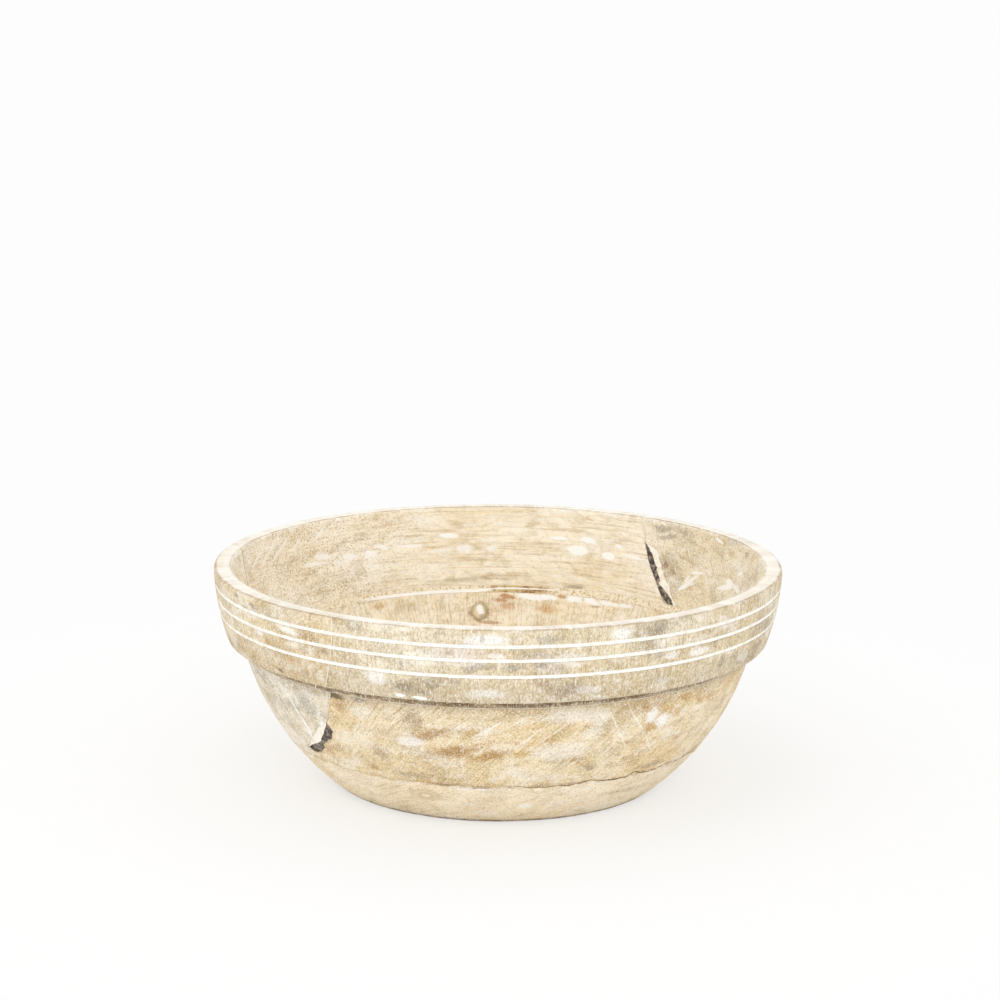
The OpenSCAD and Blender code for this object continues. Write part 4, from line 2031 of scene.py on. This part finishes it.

# Placed where the photograph shows them, with the inside first
INSIDE_MARKS = (
    Mark(157.7, 105.6, (18.3, 1.0), WHITE, 0.62, -22.7, 0.5, 1.8),
    Mark(151.9, 106.0, (17.0, 1.0), WHITE, 0.58, -24.5, 0.5, 1.8),
    Mark(145.5, 106.1, (9.5, 0.8), WHITE, 0.55, -29.9, 0.5, 1.8),
    Mark(137.2, 108.8, (9.0, 0.9), WHITE, 0.62, -34.2, 0.5, 1.8),
    Mark(162.9, 106.4, (15.0, 0.9), WHITE, 0.55, -16.3, 0.5, 1.8),
    Mark(137.9, 96.6, (8.3, 2.6), WHITE, 0.65, 8.8, 0.5, 1.8),
    Mark(129.5, 93.8, (5.9, 2.0), WHITE, 0.75, 2.1, 0.5, 1.8),
    Mark(123.5, 93.5, (5.4, 2.8), WHITE, 0.80, -2.4, 0.5, 1.8),
    Mark(119.9, 96.7, (6.4, 1.6), WHITE, 0.70, 15.4, 0.5, 1.8),
    Mark(141.0, 93.7, (12.1, 1.6), WHITE, 0.65, 2.9, 0.5, 1.8),
    Mark(131.8, 91.5, (6.5, 1.2), WHITE, 0.60, 0.7, 0.5, 1.8),
    Mark(125.4, 103.6, (8.0, 4.0), OLIVE, 0.42, -12.0, 0.9, 2.6),
    Mark(127.4, 85.0, (6.0, 6.0), OLIVE, 0.42, -20.0, 0.9, 2.6),
    Mark(148.5, 98.0, (9.0, 4.0), OLIVE, 0.42, -20.0, 0.9, 2.6),
    Mark(169.7, 102.3, (7.0, 8.0), OLIVE, 0.40, 0.0, 0.9, 2.6),
    Mark(131.6, 101.0, (9.0, 3.0), OLIVE, 0.42, -15.0, 0.9, 2.6),
    Mark(141.7, 80.0, (12.0, 6.0), OLIVE, 0.40, 0.0, 0.9, 2.6),
    Mark(112.4, 95.8, (9.2, 1.2), WHITE, 0.75, 4.1, 0.5, 1.4),
    Mark(102.9, 92.5, (13.4, 1.0), WHITE, 0.50, -2.5, 0.5, 1.4),
    Mark(106.4, 87.6, (21.0, 2.4), CREAM, 0.50, 3.0, 0.6, 1.2),
    Mark(102.1, 100.3, (7.0, 1.8), WHITE, 0.95, 4.0, 0.4, 1.0),
    Mark(98.4, 92.9, (6.0, 3.0), WHITE, 0.75, 0.0, 0.5, 1.4),
    Mark(91.8, 92.7, (4.0, 2.0), WHITE, 0.65, 0.0, 0.5, 1.4),
    Mark(100.2, 76.1, (23.6, 1.8), "#b39c74", 0.55, -1.5),
    Mark(69.4, 73.9, (10.0, 1.8), "#9c8c70", 0.65, -3.1),
    Mark(93.4, 76.7, (8.7, 1.2), "#b39c74", 0.5, 3.8),
    Mark(69.7, 93.7, (7.6, 2.9), WHITE, 1.0, 3.0, 0.3, 0.9),
    Mark(61.4, 92.3, (5.0, 2.5), WHITE, 1.0, 8.0, 0.3, 0.9),
    Mark(54.6, 93.6, (8.0, 0.8), WHITE, 0.9, 4.0, 0.3, 0.9),
    Mark(67.4, 99.6, (6.0, 1.8), WHITE, 1.0, 6.0, 0.3, 1.1),
    Mark(75.0, 99.6, (7.0, 1.2), WHITE, 0.95, 0.0, 0.4, 1.1),
    Mark(58.9, 98.1, (3.0, 1.1), WHITE, 0.9, 12.0, 0.3, 1.1),
    Mark(81.5, 67.2, (10.5, 2.2), WHITE, 1.0, 7.1, 0.4, 2.4),
    Mark(78.2, 67.2, (13.0, 1.8), WHITE, 1.0, -0.4, 0.4, 2.4),
    Mark(69.0, 67.8, (8.0, 2.2), WHITE, 1.0, 3.3, 0.4, 2.4),
    Mark(63.7, 67.2, (7.0, 1.9), WHITE, 1.0, 13.8, 0.4, 2.4),
    Mark(58.6, 67.4, (7.4, 1.4), WHITE, 0.9, 2.2, 0.4, 2.0),
    Mark(53.5, 67.5, (7.4, 1.2), WHITE, 0.8, -1.2, 0.5, 2.0),
    Mark(87.6, 67.1, (5.4, 1.7), "#b67a3a", 0.75, 8.0, 0.5, 2.6),
    Mark(72.3, 68.2, (4.6, 1.2), "#b67a3a", 0.70, 6.0, 0.5, 2.6),
    Mark(47.7, 111.5, (9.1, 3.4), "#8f8774", 0.65, -1.2),
    Mark(45.8, 107.6, (9.0, 2.4), "#8f8774", 0.6, -13.8),
    Mark(44.3, 92.8, (3.4, 3.0), "#8f5f42", 0.8, 20.0),
    Mark(41.5, 90.0, (4.0, 2.2), "#9a7a58", 0.6, 30.0),
    Mark(35.4, 86.2, (12.5, 1.7), WHITE, 0.80, -41.7, 0.5, 1.8),
    Mark(36.1, 88.0, (4.0, 1.2), WHITE, 0.75, -59.6, 0.5, 1.8),
    Mark(35.5, 84.8, (8.5, 1.3), WHITE, 0.65, -26.7, 0.5, 1.8),
    Mark(33.1, 92.9, (7.0, 1.1), WHITE, 0.80, -10.8, 0.5, 1.6),
    Mark(19.0, 92.0, (11.0, 2.0), WHITE, 0.85, -15.5, 0.5, 1.8),
    Mark(14.4, 93.9, (10.2, 1.8), WHITE, 0.75, 5.5, 0.5, 1.8),
    Mark(18.4, 94.5, (6.4, 2.6), WHITE, 0.95, 3.5, 0.5, 1.8),
    Mark(14.5, 101.7, (3.7, 1.2), WHITE, 0.90, -25.3, 0.4, 1.0),
    Mark(14.1, 112.0, (5.0, 3.0), "#9a8464", 0.65),
    Mark(27.5, 112.5, (7.0, 2.0), "#c9ac6c", 0.65),
    Mark(21.8, 109.0, (6.0, 3.0), "#c9ac6c", 0.6),
    Mark(28.2, 112.8, (5.6, 1.0), WHITE, 0.90, 9.2, 0.4, 1.0),
    Mark(38.0, 98.0, (14.0, 1.2), BROWN, 0.45, 12.0),
    Mark(95.1, 58.8, (9.0, 8.4), "#c6a873", 0.70, 0.0, 0.7, 1.6),
    Mark(95.1, 58.8, (6.7, 7.1), "#80663f", 0.88, 0.0, 0.5, 1.1),
    Mark(95.2, 59.2, (5.1, 5.4), "#e9d8b6", 0.95, 0.0, 0.5, 0.9),
    Mark(95.0, 60.0, (2.7, 3.7), WHITE, 0.95, -24.0, 0.5, 1.2),
    Mark(92.6, 53.4, (8.0, 1.2), "#a8713c", 0.60, 2.0, 0.5, 2.4),
    Mark(94.4, 56.6, (2.4, 1.6), "#b5a68c", 0.70, 0.0, 0.5, 1.4),
    Mark(87.1, 62.0, (6.0, 3.6), "#c48a4c", 0.65),
    Mark(89.5, 65.0, (8.0, 1.6), "#b0702e", 0.75),
    Mark(76.0, 61.0, (9.0, 3.0), "#cf9a52", 0.55),
    Mark(62.1, 65.0, (5.0, 1.2), "#8d5f34", 0.55),
    Mark(116.0, 64.0, (9.0, 4.0), OLIVE, 0.40, 0.0, 0.9, 2.6),
    Mark(124.0, 66.0, (7.0, 3.0), "#c59a52", 0.55),
    Mark(106.0, 62.0, (4.0, 6.0), "#b59a60", 0.5),
)
OUTSIDE_MARKS = (
    Mark(-136.7, 92.0, (18.0, 7.0), BROWN, 0.5, 8.0),
    Mark(-118.9, 94.3, (9.0, 8.0), BROWN, 0.35),
    Mark(-138.6, 80.8, (4.0, 1.6), DARK, 0.7, 10.0),
    Mark(-144.8, 111.3, (5.0, 1.8), DARK, 0.55, 15.0),
    Mark(-148.0, 109.0, (4.0, 1.4), DARK, 0.5, 15.0),
    Mark(-133.8, 104.4, (10.0, 2.4), WHITE, 0.75, 6.0, 0.6, 1.2),
    Mark(-143.3, 98.5, (5.0, 2.6), WHITE, 0.6, 0.0, 0.6, 1.2),
    Mark(-92.3, 111.0, (14.0, 4.0), WHITE, 0.8, 0.0, 0.6, 1.2),
    Mark(-113.7, 88.0, (7.0, 5.0), WHITE, 0.75, 0.0, 0.6, 1.2),
    Mark(-107.8, 84.5, (11.0, 5.0), "#847a69", 0.7),
    Mark(-92.8, 97.4, (9.0, 2.6), GREY, 0.55),
    Mark(-109.0, 79.8, (3.0, 1.2), WHITE, 0.95, 6.0, 0.4, 1.6),
    Mark(-105.0, 79.2, (4.4, 1.0), WHITE, 0.95, 4.0, 0.4, 1.6),
    Mark(-87.3, 97.0, (7.0, 3.0), GREY, 0.6),
    Mark(-80.5, 111.0, (9.0, 4.0), GREY, 0.45),
    Mark(-58.5, 111.0, (8.0, 5.0), GREY, 0.5),
    Mark(-82.2, 103.4, (9.0, 2.6), GREY, 0.45),
    Mark(-66.6, 111.5, (7.0, 4.0), WHITE, 0.75, 0.0, 0.6, 1.2),
    Mark(-90.4, 103.0, (6.0, 2.0), WHITE, 0.6, 0.0, 0.6, 1.2),
    Mark(-47.7, 95.8, (10.0, 3.0), WHITE, 0.75, 0.0, 0.6, 1.2),
    Mark(-55.0, 96.9, (6.0, 2.6), WHITE, 0.7, 0.0, 0.6, 1.2),
    Mark(-40.0, 86.0, (4.0, 6.0), "#847a6b", 0.6),
    Mark(-43.8, 97.8, (3.0, 4.0), GREY, 0.5),
    Mark(-76.0, 84.0, (10.0, 4.0), GREY, 0.4),
    Mark(-45.0, 103.0, (18.0, 9.0), "#c6a877", 0.42, 0.0, 0.9, 2.2),
    Mark(-97.0, 104.0, (22.0, 10.0), "#e4dad6", 0.42, 0.0, 0.9, 2.2),
    Mark(-80.0, 100.0, (18.0, 10.0), "#e4dad6", 0.40, 0.0, 0.9, 2.2),
    Mark(-81.6, 98.3, (4.5, 3.0), "#857870", 0.6),
    Mark(-95.4, 95.7, (5.0, 3.0), "#94897b", 0.5),
    Mark(-92.8, 112.0, (2.0, 4.0), "#9c9184", 0.5),
    Mark(-99.1, 104.0, (5.0, 2.6), "#a98c68", 0.5),
    Mark(-79.0, 104.7, (3.5, 3.0), "#a8925f", 0.5),
    Mark(-102.3, 87.3, (6.0, 4.5), "#94826c", 0.55),
    Mark(-98.0, 89.5, (4.0, 3.0), "#8f7f70", 0.45),
    Mark(-81.8, 88.3, (6.0, 2.2), "#a98770", 0.45),
    Mark(-140.3, 95.9, (6.0, 4.0), "#ad9358", 0.5),
    Mark(-130.0, 95.4, (5.0, 3.0), "#b88f57", 0.5),
    Mark(-124.9, 97.7, (3.5, 3.0), "#8f7456", 0.55),
    Mark(-151.5, 113.0, (3.0, 1.4), DARK, 0.5),
    Mark(-57.9, 98.0, (3.0, 4.0), "#988c7b", 0.45),
    Mark(-72.1, 84.0, (10.0, 3.0), WHITE, 0.50, 0.0, 0.6, 2.0),
    Mark(-62.7, 62.7, (9.0, 6.0), "#cdb67c", 0.4),
    Mark(-68.2, 44.0, (10.0, 5.0), "#cdb47a", 0.45),
    Mark(-89.4, 66.9, (10.0, 3.0), "#b9a27a", 0.4),
    Mark(-92.0, 83.0, (12.0, 3.0), WHITE, 0.6, 0.0, 0.6, 1.2),
    Mark(-108.2, 64.3, (8.0, 8.0), "#a08464", 0.6, 20.0),
    Mark(-105.0, 56.5, (17.0, 4.6), "#ac8348", 0.85, -16.0),
    Mark(-118.0, 42.8, (9.0, 7.0), "#a08868", 0.55, 30.0),
    Mark(-100.5, 47.6, (24.0, 4.6), "#ac8348", 0.8, -14.0),
    Mark(-110.6, 30.8, (14.0, 3.0), "#a08c70", 0.55),
    Mark(-109.4, 52.0, (9.0, 4.0), WHITE, 0.7, 0.0, 0.6, 1.2),
    Mark(-125.7, 46.8, (16.0, 13.0), CREAM, 0.6, 0.0, 0.6, 1.2),
    Mark(-126.8, 71.6, (7.0, 2.6), "#5f5240", 0.80, 8.0, 0.5, 1.8),
    Mark(-120.0, 71.5, (8.0, 2.2), DARK, 0.5),
    Mark(-125.8, 66.0, (6.0, 5.0), "#a87f4c", 0.6),
    Mark(-74.2, 68.0, (20.0, 6.0), WHITE, 0.45, 0.0, 0.6, 1.2),
    Mark(-75.2, 47.4, (22.0, 8.0), WHITE, 0.45, 0.0, 0.6, 1.2),
    Mark(-49.7, 65.0, (8.0, 6.0), ORANGE, 0.62),
    Mark(-41.9, 67.7, (9.0, 4.0), ORANGE, 0.5),
    Mark(-53.9, 55.4, (6.0, 3.0), ORANGE, 0.65),
    # A painted highlight: the far right of the wall made paler where it turns away and gets less light
    Mark(-35.0, 54.0, (16.0, 16.0), CREAM, 0.5, 0.0, 0.6, 1.2),
    Mark(-27.2, 66.2, (8.0, 4.0), ORANGE, 0.35),
    Mark(-54.3, 62.3, (5.0, 6.0), WHITE, 0.85, 0.0, 0.6, 1.2),
    Mark(-64.0, 62.4, (9.5, 0.7), WHITE, 0.48, 59.0, 0.5, 2.6),
    Mark(-60.3, 49.6, (8.0, 0.7), WHITE, 0.40, 55.0, 0.5, 2.6),
    Mark(-58.4, 61.5, (11.0, 0.8), WHITE, 0.50, 51.0, 0.5, 2.6),
    Mark(-53.1, 46.9, (12.0, 0.7), WHITE, 0.42, 54.0, 0.5, 2.6),
    Mark(-52.0, 56.0, (10.0, 0.7), WHITE, 0.40, 46.0, 0.5, 2.6),
    Mark(-67.3, 66.0, (6.0, 0.6), WHITE, 0.40, 50.0, 0.5, 2.6),
    Mark(-77.5, 58.8, (12.0, 0.6), WHITE, 0.36, -36.0, 0.5, 2.6),
    Mark(-83.0, 56.3, (16.0, 0.7), WHITE, 0.42, -41.7, 0.5, 2.6),
    Mark(-92.2, 61.0, (14.0, 0.7), WHITE, 0.44, -33.0, 0.5, 2.6),
    Mark(-97.9, 63.0, (9.0, 0.7), WHITE, 0.42, -40.0, 0.5, 2.6),
    Mark(-87.0, 63.5, (10.0, 0.6), WHITE, 0.38, -30.0, 0.5, 2.6),
    Mark(-140.0, 47.8, (7.4, 1.1), WHITE, 0.95, 73.9, 0.4, 1.6),
    Mark(-140.2, 42.9, (5.0, 1.2), WHITE, 0.95, 52.4, 0.4, 1.6),
    Mark(-133.8, 51.0, (4.6, 1.0), WHITE, 0.95, -53.8, 0.4, 1.6),
    Mark(-44.0, 66.5, (17.0, 7.0), "#dcc083", 0.45, 8.0),
    Mark(-45.5, 68.5, (6.0, 3.2), "#bf8a3a", 0.72, 10.0, 0.7, 2.2),
    Mark(-39.4, 63.7, (5.4, 3.2), "#c49545", 0.65, 0.0, 0.7, 2.2),
    Mark(-35.5, 63.8, (5.0, 3.0), "#c49040", 0.60, 0.0, 0.7, 2.2),
    Mark(-47.1, 60.9, (6.0, 4.0), "#cba55c", 0.60, 0.0, 0.7, 2.2),
    Mark(-56.0, 66.4, (6.0, 2.0), "#b5863f", 0.62, 25.0, 0.7, 2.0),
    Mark(-50.9, 58.1, (5.0, 5.0), WHITE, 0.75, 0.0, 0.6, 1.8),
    Mark(-95.7, 58.2, (9.0, 4.0), "#c3a05e", 0.75, -30.0),
    Mark(-92.6, 45.5, (10.0, 3.6), "#c6a055", 0.8, -8.0),
    Mark(-84.8, 46.8, (8.0, 3.4), "#c6a055", 0.7, -20.0),
    Mark(-76.3, 57.5, (9.0, 5.0), "#bfa266", 0.65, -30.0),
    Mark(-67.2, 36.3, (5.0, 3.0), "#8f7a5f", 0.65),
    Mark(-90.4, 46.8, (12.0, 4.4), "#b0864a", 0.75, -12.0),
    Mark(-48.0, 30.0, (16.0, 2.6), "#957a58", 0.55),
    Mark(-142.0, 58.0, (1.4, 16.0), WHITE, 0.7, -24.0, 0.6, 1.2),
    Mark(-148.0, 54.0, (1.4, 18.0), CREAM, 0.8, -26.0, 0.6, 1.2),
    Mark(-136.5, 61.4, (9.0, 10.0), "#8f8578", 0.5, -20.0),
    Mark(-109.7, 17.9, (10.8, 6.4), "#b1966c", 0.60, 0.0, 0.5, 1.0),
    Mark(-109.7, 17.9, (8.8, 4.9), "#f4e2c2", 0.85, 0.0, 0.5, 1.0),
    Mark(-109.5, 17.7, (5.6, 3.1), "#b59a70", 0.60, 0.0, 0.5, 1.0),
    Mark(-109.5, 17.7, (3.8, 1.9), "#f6e7cb", 0.90, 0.0, 0.5, 1.0),
    Mark(-93.6, 25.0, (4.0, 1.5), WHITE, 0.9, 0.0, 0.6, 1.2),
    Mark(-98.7, 24.6, (10.0, 2.0), WHITE, 0.45, 0.0, 0.6, 1.2),
    Mark(-81.8, 12.6, (6.0, 2.2), WHITE, 0.75, 0.0, 0.6, 1.2),
    Mark(-52.6, 15.1, (20.0, 3.0), BROWN, 0.35),
)
MARKS = tuple(replace(mark, side=Side.INSIDE) for mark in INSIDE_MARKS) + OUTSIDE_MARKS


def main() -> None:
    """Builds the bowl, the studio and the camera."""
    logging.basicConfig(level=logging.INFO)
    bpy.context.scene.view_settings.view_transform = "Standard"
    sizes = BowlSizes()
    wall_gap = OpenJoint("wall_gap", sizes, sizes.wall_joint, Side.OUTSIDE, 5.0, 1.2, 0.3, 8.0, WALL_GAP)
    rim_gap = OpenJoint("rim_gap", sizes, sizes.rim_right, Side.INSIDE, 6.0, 0.35, 0.1, 3.0, RIM_GAP)
    board = BaseBoard(sizes, Timber("whitewashed mango base", BASE, BASE, 1.0), MARKS)
    wall = WallCourse(
        sizes,
        Timber("whitewashed mango wall", TAN, LOWER, 2.0, board_angle=sizes.wall_board_angle),
        Timber("whitewashed grey mango wall", GREYED, LOWER, 3.1, board_angle=sizes.wall_board_angle),
        wall_gap,
        MARKS,
    )
    rim = RimCourse(
        sizes,
        Timber("whitewashed mango rim", BAND, INNER, 4.2),
        Timber("whitewashed mango rim left", LEFT_BAND, INNER_LEFT, 5.3),
        Timber("whitewashed mango rim right", BAND, INNER_RIGHT, 6.4),
        rim_gap,
        MARKS,
    )
    # Chalky and pale where it is filler or putty, brown or clouded where it is glue or resin
    filler = Filling("white wood filler", "#fffdf8", "#efe6d4", 0.8, 3.0, 0.85)
    glue = Filling("dried glue", "#8a683f", "#e6d3ac", 1.0, 30.0, 0.6, left=0.95)
    pale_glue = Filling("limed glue", "#f8eedb", "#e2cfab", 0.6, 5.0, 0.7)
    putty = Filling("lime putty", "#fffaf0", "#e9dcc2", 0.7, 3.0, 0.85)
    resin = Filling("dark resin", "#4c433e", "#a89c90", 0.9, 3.0, 0.5)
    lines = TurnedLines(sizes, filler)
    seam = SeamFiller(sizes, SeamWash())
    films = GlueLines(sizes, wall, rim, glue, pale_glue)
    for assembly in (board, wall, rim, lines, seam, films):
        assembly.build()
    dark, white = resin.material(), putty.material()
    for gap in (wall_gap, rim_gap):
        gap.fill(dark, white)
    studio = Studio()
    studio.floor()
    studio.lights()
    studio.camera()
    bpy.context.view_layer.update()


if __name__ == "__main__":
    main()
